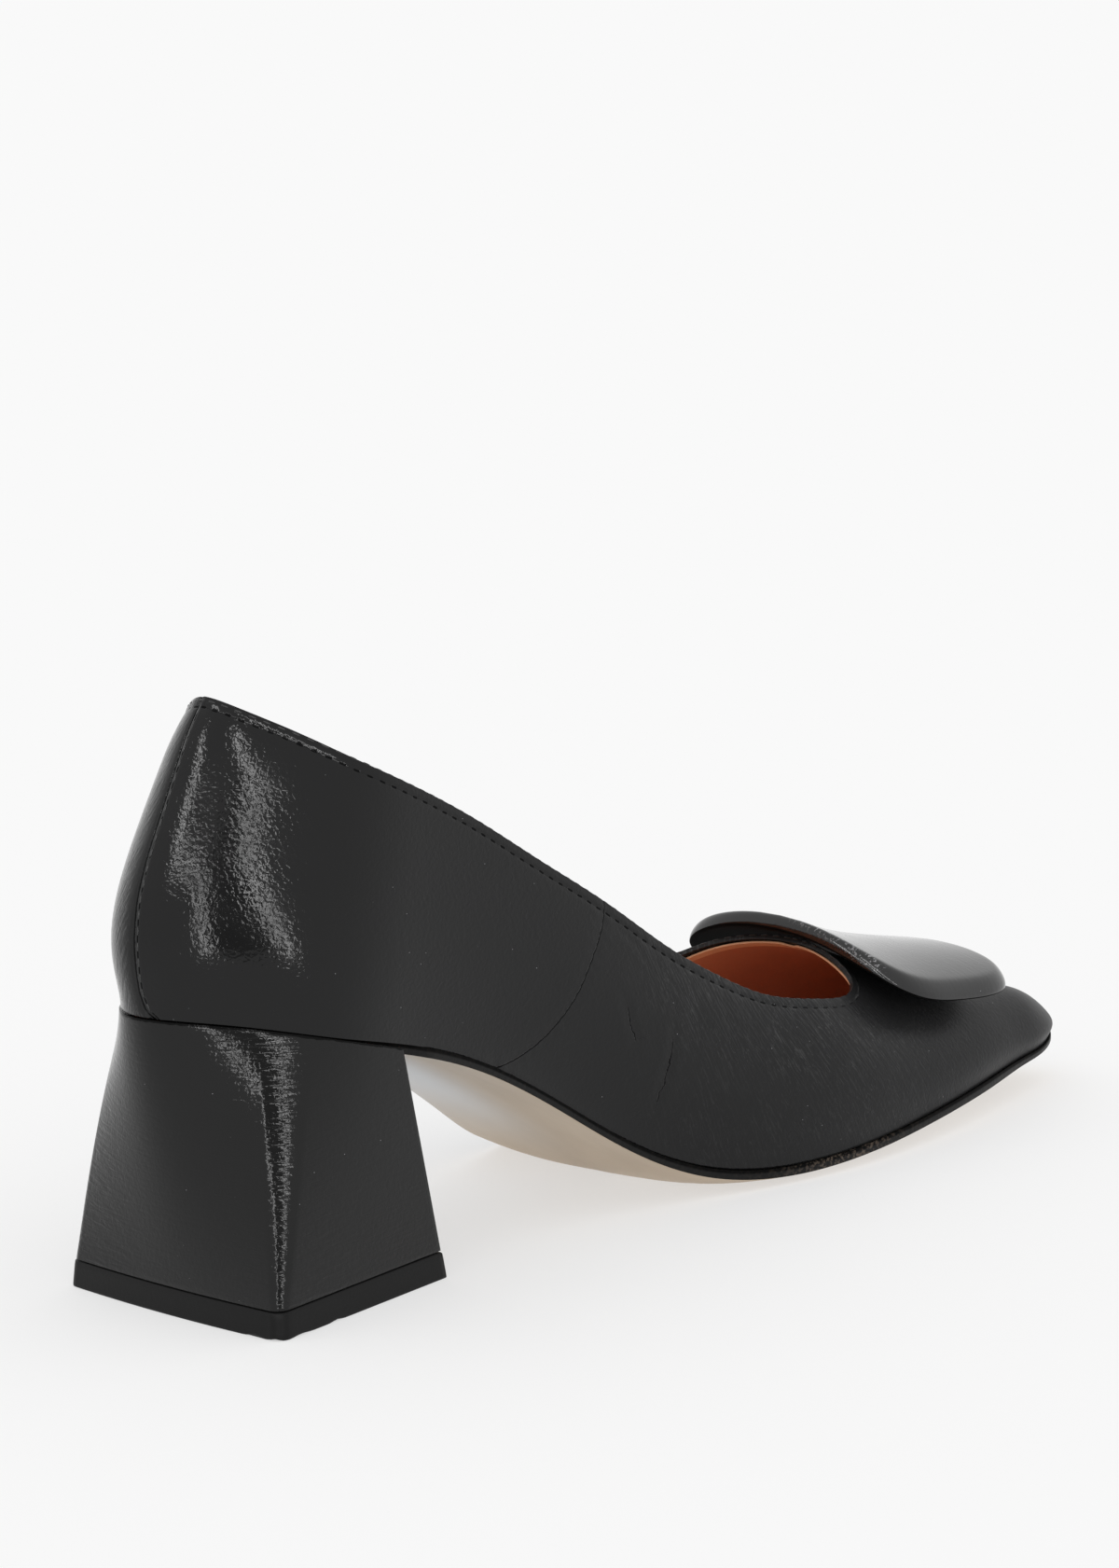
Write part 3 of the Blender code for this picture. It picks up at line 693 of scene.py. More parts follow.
# %% [markdown]
# ## Folds, seams and creases
# Leather is turned over at the topline and sewn down, which leaves a soft double band with a groove under
# the stitches. Seams sink in, with small puckers beside them. Walking has bent the vamp just in front of
# the side seam, and those creases are soft troughs with a low swelling on either side. All of this moves
# the sheet's points along their normals.

# %% Folded edge and back seam
FOLD_RAISE = 0.16 * MM
FOLD_END = 1.2 * MM, 1.9 * MM
STITCH_PITCH = 3.0 * MM
STITCH_GROOVE = 0.13 * MM
STITCH_GROOVE_WIDTH = 0.35 * MM
SEAM_GROOVE = 0.22 * MM
BACK_GROOVE_WIDTH = 0.5 * MM
BACK_WELT = 0.14 * MM
BACK_WELT_PLACE = 1.1 * MM
BACK_WELT_WIDTH = 0.8 * MM
BACK_END = 20 * MM, 30 * MM

points = points_of(upper)
normals = normals_of(upper)
edge_gap, edge_run = near_line(points, topline_points)
offset = FOLD_RAISE * (1 - fade(edge_gap, *FOLD_END))
pucker = 0.7 + 0.3 * np.cos(2 * math.pi * edge_run / STITCH_PITCH)
offset -= STITCH_GROOVE * pucker * ridge(edge_gap - STITCH_ROW, STITCH_GROOVE_WIDTH)

from_back = points[:, 0] + MIDDLE[0]
sideways = points[:, 1] + MIDDLE[1]
at_back = 1 - fade(from_back, *BACK_END)
back_gap = sideways - np.interp(points[:, 2], BACK_SEAM[:, 0], BACK_SEAM[:, 1])
offset -= at_back * SEAM_GROOVE * ridge(back_gap, BACK_GROOVE_WIDTH)
offset += at_back * BACK_WELT * ridge(back_gap + BACK_WELT_PLACE, BACK_WELT_WIDTH)
print("fold and back seam:", round(offset.min() / MM, 2), "to", round(offset.max() / MM, 2), "mm")

# %% Side seams, creases and lumps
FAR = 1.0
SIDE_GROOVE = 0.6 * SEAM_GROOVE
SIDE_GROOVE_WIDTH = 0.6 * MM
PUCKER_HEIGHT = 0.05 * MM
PUCKER_PLACE = 1.4 * MM
PUCKER_WIDTH = 1.0 * MM
DRAWN_CREASE_DEPTH = 0.1 * MM
DRAWN_CREASE_START = 0.22
DRAWN_CREASE_END = 0.90
CREASE_SWELL = 0.30
CREASE_SWELL_PLACE = 2.1
LUMP_SIZE = 11.0 * MM
LUMP_HEIGHT = 0.03 * MM

side_gap = np.full(len(points), FAR)
for line in side_seams:
    gap, run = signed_gap(points, line)
    offset -= SIDE_GROOVE * ridge(gap, SIDE_GROOVE_WIDTH)
    puckers = np.cos(2 * math.pi * run / STITCH_PITCH)
    offset += PUCKER_HEIGHT * puckers * ridge(np.abs(gap) - PUCKER_PLACE, PUCKER_WIDTH)
    side_gap = np.where(np.abs(gap) < np.abs(side_gap), gap, side_gap)

crease_gap = np.full(len(points), FAR)
for line, depth, width in crease_lines:
    gap, run = signed_gap(points, line)
    run_share = run / run.max()
    if depth > DRAWN_CREASE_DEPTH:
        drawn = (run_share >= DRAWN_CREASE_START) & (run_share <= DRAWN_CREASE_END)
        crease_gap = np.where(drawn & (np.abs(gap) < np.abs(crease_gap)), gap, crease_gap)
    ends = np.sin(math.pi * np.clip(run_share, 0.03, 0.97)) ** 0.6
    swelling = CREASE_SWELL * ridge(np.abs(gap) - CREASE_SWELL_PLACE * width, width)
    offset += depth * ends * (swelling - ridge(gap, width))

lumps = np.array([noise.noise(Vector(point) / LUMP_SIZE) for point in points])
offset += LUMP_HEIGHT * lumps
points = points + normals * offset[:, None]
print("moved by", round(offset.min() / MM, 2), "to", round(offset.max() / MM, 2), "mm")

# %% Collar, wall and kept values
LEATHER = 1.05 * MM
LEATHER_ROUNDING = 0.4 * MM
COLLAR_ROLL = 1.3 * MM
COLLAR_ROLL_DEPTH = 11.0 * MM
COLLAR_ROLL_END = 22 * MM, 44 * MM
FLEXED_VAMP = 94 * MM, 125 * MM
STIFF_TOE = 180 * MM, 210 * MM
SATIN_VAMP = 120 * MM, 185 * MM
WRINKLED_EDGE = 4 * MM, 22 * MM
OUTER_BACK = 1.0 * MM, 3.0 * MM


def roll_collar_in(points, normals, edge_gap, from_back):
    """The points moved inwards near the topline at the back, where the collar hugs the foot."""
    near_edge = (1 - np.clip(edge_gap / COLLAR_ROLL_DEPTH, 0, 1)) ** 2
    roll = COLLAR_ROLL * near_edge * (1 - fade(from_back, *COLLAR_ROLL_END))
    outwards = normals * (1, 1, 0)
    outwards /= np.maximum(np.linalg.norm(outwards, axis=1), 1e-6)[:, None]
    return points - outwards * roll[:, None]


points = roll_collar_in(points, normals, edge_gap, from_back)
set_points(upper, points)
flexing = fade(from_back, *FLEXED_VAMP) * (1 - 0.6 * fade(from_back, *STIFF_TOE))
flexing *= 1.25 - 0.85 * fade(edge_gap, *WRINKLED_EDGE)
outer_back = at_back * fade(back_gap, *OUTER_BACK)
kept_values = {
    "edge_gap": edge_gap,
    "edge_run": edge_run,
    "upright": points[:, 2],
    "side_gap": side_gap,
    "crease_gap": crease_gap,
    "back_gap": np.where(at_back > 0.5, back_gap, FAR),
    "satin": fade(from_back, *SATIN_VAMP),
    "wrinkled": np.maximum(flexing, 1.3 * outer_back),
}
for name, values in kept_values.items():
    keep_on_points(upper, name, values)
thicken(upper, LEATHER)
round_edges(upper, LEATHER_ROUNDING)
print("kept on the upper's points:", ", ".join(kept_values))

# %% [markdown]
# ## Black leather
# The leather is dyed black and polished, so its own colour is nearly nothing and its gloss does the work.
# A fine pebbled grain covers it all. Wrinkles are the same kind of noise, pulled long in one direction,
# and the middle of that noise draws hair-fine bright lines. The vamp has worn to a satin. A few specks of
# dust lie on it. Seams and the stitched groove are cut by the kept distances: a bump for their shape and
# less gloss in their depth, which is what makes a thin dark line.

# %% Lines and specks in the leather
WAVER_SIZE = 2.0 * MM
LINE_GLOSS = 0.04
DUST_SPACING = 3.4 * MM
DUST_CORE = 0.015
DUST_EDGE = 0.034
FLAKE_SIZE = 1.1 * MM, 0.6 * MM, 0.6 * MM


def cut_lines(tree, place, lines, height, shine):
    """The height and the gloss with thin lines cut into them. Each line is a kept distance, where on it
    the line lies, half its width, its depth, its waver, and the kept run of its stitches or None."""
    for kept, where, width, depth, waver, stitched in lines:
        gap = math_node(tree, "SUBTRACT", stored(tree, kept), where)
        shift = math_node(tree, "SUBTRACT", sized_noise(tree, place, WAVER_SIZE, detail=3.0), 0.5)
        gap = math_node(tree, "ABSOLUTE", math_node(tree, "MULTIPLY_ADD", shift, waver, gap))
        if stitched:
            phase = math_node(tree, "PINGPONG", stored(tree, stitched), STITCH_PITCH / 2)
            gap = math_node(tree, "ADD", gap, ramp(tree, phase, 0.5 * MM, 0.8 * MM, 0.0, 0.5 * width))
        height = math_node(tree, "ADD", height, ramp(tree, gap, 0.0, width, -depth, 0.0))
        shine = math_node(tree, "MINIMUM", shine, ramp(tree, gap, 0.4 * width, width, LINE_GLOSS, 1.0))
    return height, shine


def pale_specks(tree, place, scuffs_and_glints):
    """1 on specks of dust and on pale flakes, which are scuffs and painted glints, 0 elsewhere."""
    spots = add_node(tree, "ShaderNodeTexVoronoi", {"Vector": place, "Scale": 1 / DUST_SPACING})
    pale = ramp(tree, spots.outputs["Distance"], DUST_CORE, DUST_EDGE, 1.0, 0.0)
    if scuffs_and_glints:
        flakes = sized_noise(tree, place, FLAKE_SIZE, detail=3.0, roughness=0.6)
        flakes = ramp(tree, flakes, 0.55, 0.63, 0.0, 1.0)
        pale = math_node(tree, "MAXIMUM", pale, math_node(tree, "MULTIPLY", flakes, stored(tree, scuffs_and_glints)))
    return pale


# %% Black leather finish
LEATHER_BLACK = (0.0045, 0.0045, 0.0047)
LEATHER_GLOSS = 0.28
GRAIN_SIZE = 0.85 * MM
PATCH_SIZE = 9.0 * MM
HAIR_WIDTH = 0.026
# the grey below colours dust specks and the plate's pale flakes, which are partly painted glints
DUST_AND_GLINT_GREY = (0.30, 0.30, 0.31)
SATIN_BLACK = (0.017, 0.017, 0.0175)
SATIN_ROUGHNESS = 0.26
SATIN_GLOSS_LOSS = 0.15
TURNED_AWAY = 0.35, 0.9
TURNED_AWAY_GLOSS = 0.25


def black_leather(name, wrinkle_angle, wrinkle_size, wrinkle_depth, grain_depth=0.06 * MM, roughness=0.10,
                  gloss=LEATHER_GLOSS, colour=LEATHER_BLACK, hair=0.0, mask=None, satin=None, scuffs_and_glints=None,
                  dull_edge=False, lines=()):
    """Crinkled black leather. mask, satin and scuffed name values kept on the points; hair needs a mask."""
    material, tree, shader = new_finish(name, colour, roughness, gloss)
    place = object_place(tree)
    run = stored(tree, "run", "Vector")
    grain = sized_noise(tree, place, GRAIN_SIZE, detail=1.0, roughness=0.5, distortion=0.6)
    wrinkle = sized_noise(tree, run, (*wrinkle_size, 1.0), 2.0, 0.5, wrinkle_angle, 0.4)
    patches = sized_noise(tree, place, PATCH_SIZE, detail=2.0)
    dulled = ramp(tree, patches, 0.3, 0.7, roughness - 0.02, roughness + 0.04)
    shine = gloss
    if hair:
        hairs = math_node(tree, "ABSOLUTE", math_node(tree, "SUBTRACT", wrinkle, 0.5))
        hairs = ramp(tree, hairs, 0.0, HAIR_WIDTH, hair, 0.0)
        patchy = math_node(tree, "MULTIPLY", stored(tree, mask), ramp(tree, patches, 0.35, 0.6, 0.35, 1.0))
        shine = math_node(tree, "ADD", math_node(tree, "MULTIPLY", hairs, patchy), gloss)
    wrinkle = math_node(tree, "MULTIPLY", wrinkle, wrinkle_depth)
    if mask:
        wrinkle = math_node(tree, "MULTIPLY", wrinkle, stored(tree, mask))
    height = math_node(tree, "ADD", math_node(tree, "MULTIPLY", grain, grain_depth), wrinkle)
    if satin:
        satin_share = stored(tree, satin)
        dulled = math_node(tree, "MULTIPLY_ADD", satin_share, SATIN_ROUGHNESS, dulled)
        shine = math_node(tree, "MULTIPLY_ADD", satin_share, -SATIN_GLOSS_LOSS, shine)
        colour = mixed(tree, satin_share, colour, SATIN_BLACK)
    if dull_edge:
        facing = add_node(tree, "ShaderNodeLayerWeight", {"Blend": 0.5}).outputs["Facing"]
        shine = math_node(tree, "MULTIPLY", shine, ramp(tree, facing, *TURNED_AWAY, 1.0, TURNED_AWAY_GLOSS))
    height, shine = cut_lines(tree, place, lines, height, shine)
    if isinstance(shine, bpy.types.NodeSocket):
        tree.links.new(shine, shader.inputs["Specular IOR Level"])
    tree.links.new(dulled, shader.inputs["Roughness"])
    colour = mixed(tree, pale_specks(tree, place, scuffs_and_glints), colour, DUST_AND_GLINT_GREY)
    tree.links.new(colour, shader.inputs["Base Color"])
    bump(tree, shader, height, 1.0)
    return material


# %% Finish the upper
UPPER_WRINKLES = 7.0 * MM, 0.70 * MM
UPPER_WRINKLE_ANGLE = math.radians(-64)
# kept distance, where, half width, depth, waver, kept run of its stitches
UPPER_LINES = [
    ("edge_gap", STITCH_ROW, 0.40 * MM, 0.06 * MM, 0.3 * MM, "edge_run"),
    ("side_gap", 0.0, 0.24 * MM, 0.08 * MM, 0.2 * MM, None),
    ("crease_gap", 0.0, 0.20 * MM, 0.06 * MM, 1.6 * MM, None),
    ("back_gap", 0.0, 0.35 * MM, 0.10 * MM, 0.2 * MM, None),
    ("back_gap", -1.0 * MM, 0.35 * MM, 0.05 * MM, 0.2 * MM, "upright"),
]

upper.data.materials.append(black_leather(
    "upper_black", UPPER_WRINKLE_ANGLE, UPPER_WRINKLES, 0.10 * MM,
    hair=0.34, mask="wrinkled", satin="satin", lines=UPPER_LINES))
put_on_shoe(upper, "upper_leather", "upper")

# %% [markdown]
# ## Lining
# A tan lining is stuck to the inside of the leather and cut off just below the folded edge, so a pale
# line of it shows all round the opening. It is the same sheet, set in by the leather's thickness.

# %% Lining
LINING = 0.45 * MM
LINING_TRIM = 2.2 * MM
LINING_GLUE = 0.1 * MM

lining = upper_sheet("lining", LINING_TRIM)
points = points_of(lining)
normals = normals_of(lining)
edge_gap, _ = near_line(points, topline_points)
points = roll_collar_in(points, normals, edge_gap, points[:, 0] + MIDDLE[0])
set_points(lining, points - normals * (LEATHER + LINING_GLUE))
keep_on_points(lining, "edge_gap", edge_gap)
thicken(lining, LINING)
print("lining starts", round(edge_gap.min() / MM, 1), "mm below the topline")

# %% Tan leather
TAN_DARK = (0.34, 0.115, 0.062)
TAN = (0.43, 0.160, 0.088)
# the paler tan below is painted light, for the light that falls into the shoe towards the heel
TAN_PAINTED_LIGHT = (0.82, 0.41, 0.235)
TAN_CUT = (0.70, 0.40, 0.23)
PAINTED_LIGHT_START = 150 * MM
PAINTED_LIGHT_END = 186 * MM

tan, tree, shader = new_finish("tan_lining", TAN, 0.55, 0.35)
place = object_place(tree)
along = add_node(tree, "ShaderNodeSeparateXYZ", {"Vector": place}).outputs["X"]
colour = toned(tree, sized_noise(tree, place, 14 * MM, detail=3.0), TAN_DARK, TAN)
# painted light: the lining is painted paler towards the heel, where more light falls into the shoe
wear_and_painted_light = ramp(tree, along, PAINTED_LIGHT_START - MIDDLE[0], PAINTED_LIGHT_END - MIDDLE[0], 1.0, 0.0)
colour = mixed(tree, wear_and_painted_light, colour, TAN_PAINTED_LIGHT)
cut_edge = ramp(tree, stored(tree, "edge_gap"), LINING_TRIM + 0.2 * MM, LINING_TRIM + 0.5 * MM, 1.0, 0.0)
tree.links.new(mixed(tree, cut_edge, colour, TAN_CUT), shader.inputs["Base Color"])
bump(tree, shader, sized_noise(tree, place, 0.6 * MM, detail=2.0), 0.03 * MM)
lining.data.materials.append(tan)
put_on_shoe(lining, "lining_leather")

# %% [markdown]
# ## Stitches
# The topline is sewn all round with black thread, and a second row holds the back seam. A stitch is one
# small round-ended bead of thread. All of them are copies of one bead, placed with arrays and kept as one
# mesh.

# %% One stitch
BEAD_SIDES = 8
BEAD_RINGS = 5
BEAD_ROUNDNESS = 0.6


def bead_shape():
    """Points and faces of a bead of length 1 along X and radius 1 across."""
    sides = BEAD_SIDES
    turn = np.linspace(0, 2 * math.pi, sides, endpoint=False)
    body = []
    for lean in np.linspace(0, math.pi, BEAD_RINGS + 2)[1:-1]:
        wide = math.sin(lean) ** BEAD_ROUNDNESS
        body += [(-0.5 * math.cos(lean), wide * math.cos(t), wide * math.sin(t)) for t in turn]
    points = np.array([(-0.5, 0, 0), *body, (0.5, 0, 0)])
    faces = [(0, 1 + (i + 1) % sides, 1 + i) for i in range(sides)]
    for ring in range(BEAD_RINGS - 1):
        low = 1 + ring * sides
        faces += [(low + i, low + (i + 1) % sides, low + sides + (i + 1) % sides, low + sides + i)
                  for i in range(sides)]
    low = 1 + (BEAD_RINGS - 1) * sides
    faces += [(low + i, low + (i + 1) % sides, len(points) - 1) for i in range(sides)]
    return points, faces


print("points of a stitch:", len(bead_shape()[0]))

# %% A row of stitches
THREAD = 0.20 * MM
THREAD_FLATNESS = 0.8
STITCH_LENGTH = 1.7 * MM
STITCH_SINK = 0.03 * MM
STITCH_WELD = 1e-7


def even_spots(line, pitch, beside):
    """Spots along a line at an even pitch, which is measured on the line beside it."""
    run = run_along(beside)
    at = np.arange(pitch / 2, run[-1], pitch)
    return np.stack([np.interp(at, run, line[:, i]) for i in range(3)], axis=-1)


def sew(name, spots, skin):
    """A row of stitches on the skin, one at each spot."""
    ahead_of = np.gradient(spots, axis=0)
    ahead_of /= np.linalg.norm(ahead_of, axis=1)[:, None]
    shape, shape_faces = bead_shape()
    points, faces = [], []
    for spot, along in zip(spots, ahead_of):
        hit, normal, _, _ = skin.find_nearest(Vector(spot))
        normal = np.array(normal)
        across = np.cross(normal, along)
        across /= np.linalg.norm(across)
        out = np.cross(along, across)
        base = len(points) * len(shape)
        placed = (shape[:, :1] * STITCH_LENGTH * along + shape[:, 1:2] * THREAD * across
                  + shape[:, 2:] * THREAD * THREAD_FLATNESS * out)
        points.append(placed + np.array(hit) - normal * STITCH_SINK + MIDDLE)
        faces += [[base + corner for corner in face] for face in shape_faces]
    return new_piece(name, np.concatenate(points), faces, weld=STITCH_WELD)


# %% Sew the topline
TOPLINE_STEP = 3


def below_topline(skin, depth):
    """The line on the skin that runs depth below the topline."""
    ahead_of = np.gradient(topline_points, axis=0)
    line = []
    for spot, along in zip(topline_points[::TOPLINE_STEP], ahead_of[::TOPLINE_STEP]):
        _, normal, _, _ = skin.find_nearest(Vector(spot))
        down = Vector(along).cross(normal).normalized()
        line.append(np.array(skin.find_nearest(Vector(spot) + down * depth)[0]))
    return np.array(line)


leather_skin = skin_of(upper)
stitch_line = below_topline(smooth_skin, STITCH_ROW)
topline_spots = even_spots(stitch_line, STITCH_PITCH, topline_points[::TOPLINE_STEP])
topline_stitches = sew("topline_stitches", topline_spots, leather_skin)
stitch_gaps, _ = near_line(stitch_line, topline_points)
print(len(topline_spots), "stitches,", round(stitch_gaps.mean() / MM, 2), "mm below the topline")

# %% Sew the back seam
BACK_ROW_LOW = 60.5 * MM
BACK_ROW_HIGH = 112.0 * MM
BACK_ROW_ASIDE = 1.0 * MM
BACK_SPOTS = 300
BEHIND_SHOE = -0.3
THREAD_BLACK = (0.010, 0.010, 0.010)

heights = np.linspace(BACK_ROW_LOW, BACK_ROW_HIGH, BACK_SPOTS)
sides = np.interp(heights, BACK_SEAM[:, 0], BACK_SEAM[:, 1]) - BACK_ROW_ASIDE - MIDDLE[1]
forward = Vector((1, 0, 0))
hits = [leather_skin.ray_cast(Vector((BEHIND_SHOE, y, z)), forward)[0] for y, z in zip(sides, heights)]
back_line = np.array([hit for hit in hits if hit is not None])
back_stitches = sew("back_seam_stitches", even_spots(back_line, STITCH_PITCH, back_line), leather_skin)

thread_black, _, _ = new_finish("thread_black", THREAD_BLACK, 0.30, 0.5)
for stitches in (topline_stitches, back_stitches):
    stitches.data.materials.append(thread_black)
    put_on_shoe(stitches, "upper_leather")

# %% [markdown]
# ## Sole
# The sole is a plate of beige leather, cut to the last's outline, bowed down across the ball and painted
# black round its edge. Rows of points run across the shoe's bottom, one for each section. The paint has
# rubbed off the edge beside the ball, and the outer side of the waist is painted pale grey, a painted
# reflection of the white floor. Inside the shoe the insole board, under its tan sock, is made from the same
# rows.

# %% Rows across the bottom
SOLE_EDGE = 1.75 * MM
SOLE_CROWN = 3.6 * MM
INNER_CROWN = 1.3 * MM
CROWN_WIDTH = 40.0 * MM
CROWN_START = 0.41 * LENGTH, 0.555 * LENGTH
CROWN_END = 0.74 * LENGTH, LENGTH
SOLE_MARGIN = 0.5 * MM
SOLE_SEAT_INSET = 1.6 * MM
HEEL_BREAST_TOP = 41.5 * MM
SEAT_END = HEEL_BREAST_TOP + 1 * MM, HEEL_BREAST_TOP + 9 * MM
SOLE_ROWS = 170
SOLE_COLUMNS = 24


def sole_grid(outset, depth, deepest):
    """Points across the bottom from the medial to the lateral edge. deepest is the bow under the ball."""
    rounds = np.linspace(0, 1, SOLE_ROWS + 1)
    across = np.linspace(-1, 1, SOLE_COLUMNS + 1)
    drop = np.stack([0 * rounds, 0 * rounds, depth + 0 * rounds], axis=-1)
    low = last.bottom(-rounds, outset(rounds)) - drop
    high = last.bottom(rounds, outset(rounds)) - drop
    rows = low[:, None, :] + (high - low)[:, None, :] * ((across + 1) / 2)[None, :, None]
    x = last.x(rounds)
    crown = deepest * fade(x, *CROWN_START) * (1 - 0.8 * fade(x, *CROWN_END))
    crown = crown * fade(np.linalg.norm(high - low, axis=1), 0, CROWN_WIDTH)
    rows[..., 2] -= crown[:, None] * (1 - np.abs(across) ** 3)[None, :]
    return rows


def sole_outset(rounds):
    seat = 1 - fade(last.x(rounds), *SEAT_END)
    return SOLE_MARGIN - (SOLE_MARGIN + SOLE_SEAT_INSET) * seat


def between(name, top, bottom):
    """A closed piece between two grids of the same size. The faces come as top, bottom, then edge."""
    rows, columns = top.shape[:2]
    below = rows * columns
    rim = list(range(columns))
    rim += [i * columns + columns - 1 for i in range(1, rows)]
    rim += [(rows - 1) * columns + j for j in range(columns - 2, -1, -1)]
    rim += [i * columns for i in range(rows - 2, 0, -1)]
    rim = np.array(rim)
    ahead_of = np.roll(rim, -1)
    edge = np.stack([rim, ahead_of, ahead_of + below, rim + below], axis=-1)
    faces = np.concatenate([grid_faces(rows, columns, turned=True), grid_faces(rows, columns, below), edge])
    piece = new_piece(name, np.concatenate([top.reshape(-1, 3), bottom.reshape(-1, 3)]), faces,
                      underside=np.append(np.zeros(below), np.ones(below)))
    work = bmesh.new()
    work.from_mesh(piece.data)
    bmesh.ops.recalc_face_normals(work, faces=work.faces)
    if work.calc_volume(signed=True) < 0:
        bmesh.ops.reverse_faces(work, faces=work.faces)
    work.to_mesh(piece.data)
    work.free()
    return piece


# %% Sole and sock
SOLE_EDGE_AT_TOE = 0.8 * MM
TOE_TAPER = 0.84 * LENGTH
SOLE_TOP_GAP = 0.05 * MM
SOLE_ROUNDING = 0.35 * MM
INSOLE_INSET = 2.7 * MM
INSOLE_LIFT = 0.2 * MM
INSOLE_THICK = 2.4 * MM
NO_EDGE = 0.1

toe_share = fade(last.x(np.linspace(0, 1, SOLE_ROWS + 1)), TOE_TAPER, LENGTH)
sole_edge = SOLE_EDGE - (SOLE_EDGE - SOLE_EDGE_AT_TOE) * toe_share
sole_bottom = sole_grid(sole_outset, GAP + sole_edge, SOLE_CROWN)
sole_bottom[..., 2] = np.maximum(sole_bottom[..., 2], 0.0)
sole = between("sole", sole_grid(sole_outset, SOLE_TOP_GAP, INNER_CROWN), sole_bottom)
round_edges(sole, SOLE_ROUNDING, angle=50)


def sock_outset(rounds):
    return np.full_like(rounds, -INSOLE_INSET)


sock = between("sock", sole_grid(sock_outset, -INSOLE_THICK, INNER_CROWN),
               sole_grid(sock_outset, -INSOLE_LIFT, INNER_CROWN))
keep_on_points(sock, "edge_gap", np.full(len(sock.data.vertices), NO_EDGE))
sock.data.materials.append(tan)
put_on_shoe(sock, "lining_leather", "insole")

# %% Painted edge
EDGE_BLACK = (0.004, 0.004, 0.004)
EDGE_WORN = (0.10, 0.078, 0.062)
WORN_PLACE = 157 * MM
WORN_HALF_LENGTH = 13 * MM

edge_black, tree, shader = new_finish("sole_edge_black", EDGE_BLACK, 0.42, 0.15)
place = object_place(tree)
wear_and_painted_light = ramp(tree, sized_noise(tree, place, 0.9 * MM, detail=4.0, roughness=0.65), 0.46, 0.62, 0.0, 1.0)
wear_and_painted_light = math_node(tree, "MULTIPLY", wear_and_painted_light, stored(tree, "worn"))
tree.links.new(mixed(tree, wear_and_painted_light, EDGE_BLACK, EDGE_WORN), shader.inputs["Base Color"])
joint = ramp(tree, stored(tree, "underside"), 0.25, 0.5, 0.02, 0.18)
tree.links.new(joint, shader.inputs["Specular IOR Level"])
bump(tree, shader, sized_noise(tree, place, 1.0 * MM, detail=3.0), 0.08 * MM)
from_back = points_of(sole)[:, 0] + MIDDLE[0]
keep_on_points(sole, "worn", 0.04 + 0.96 * ridge(from_back - WORN_PLACE, WORN_HALF_LENGTH))
print("edge worn", round(WORN_PLACE / MM), "mm from the back")

# %% Beige underside
BEIGE_DARK = (0.42, 0.325, 0.225)
BEIGE = (0.51, 0.408, 0.295)
# the pale grey below is a painted reflection of the white floor in the sole's waist
PAINTED_FLOOR_REFLECTION = (0.63, 0.645, 0.66)
BEIGE_PATCHES = 30 * MM, 18 * MM, 30 * MM
WAIST_START = HEEL_BREAST_TOP + 40 * MM - MIDDLE[0]
WAIST_END = HEEL_BREAST_TOP + 80 * MM - MIDDLE[0]
PAINTED_REFLECTION_SIDE = -10 * MM, 16 * MM

beige, tree, shader = new_finish("sole_beige", BEIGE, 0.42, 0.4)
place = object_place(tree)
spot = add_node(tree, "ShaderNodeSeparateXYZ", {"Vector": place})
colour = toned(tree, sized_noise(tree, place, BEIGE_PATCHES, detail=4.0), BEIGE_DARK, BEIGE, 0.3, 0.7)
# painted reflection: the outer side of the waist is painted pale grey for the white floor mirrored in the
# sole
in_waist = ramp(tree, spot.outputs["X"], WAIST_START, WAIST_END, 1.0, 0.0)
outer_side = ramp(tree, spot.outputs["Y"], *PAINTED_REFLECTION_SIDE, 0.0, 1.0)
painted_reflection = math_node(tree, "MULTIPLY", in_waist, outer_side)
tree.links.new(mixed(tree, painted_reflection, colour, PAINTED_FLOOR_REFLECTION), shader.inputs["Base Color"])
bump(tree, shader, sized_noise(tree, place, 0.9 * MM, detail=3.0), 0.03 * MM)
sole.data.materials.append(edge_black)
sole.data.materials.append(beige)
underside = kept_on_points(sole, "underside")
for face in sole.data.polygons:
    face.material_index = int(all(underside[corner] > 0.5 for corner in face.vertices))
put_on_shoe(sole, "sole_leather", "outsole")

# %% [markdown]
# ## Heel
# The heel is a hard block wrapped in the upper's leather. It is narrower at the seat than at the floor,
# round at the top and square at the bottom, so it is lofted from one outline to the other. Its outer back
# corner is a little fuller halfway up. Its top is hollowed for the sole with a Boolean, which leaves the
# thin rim of leather that hides the sole's edge. Its gloss is held back where the wrap turns away from the
# eye, because the photo shows no bright edge there.

# %% Heel outlines
HEEL_BACK_LINES = 44
HEEL_CORNER_LINES = 18
HEEL_SIDE_LINES = 40
HEEL_LINES = HEEL_BACK_LINES + HEEL_CORNER_LINES + HEEL_SIDE_LINES
BREAST_LINES = 24
SEAT_OUTSET = 0.3 * MM
FOOT_BACK = 3.2 * MM
FOOT_FRONT = 52.2 * MM
FOOT_BACK_HALF = 30.5 * MM
FOOT_FRONT_HALF = 25.25 * MM
FOOT_CORNER = 2.6 * MM
FOOT_BOW = 1.2 * MM


def heel_seat_outline():
    """Half of the heel's top edge, from the back seam to the middle of the breast, on the lateral side."""
    front = last.round_at(HEEL_BREAST_TOP)
    side = last.bottom(np.linspace(0, front, HEEL_LINES + 1), SEAT_OUTSET) - (0, 0, GAP)
    shares = np.linspace(1, 0, BREAST_LINES + 1)[1:, None]
    return np.concatenate([side, side[-1] * (1, 0, 1) + side[-1] * (0, 1, 0) * shares])


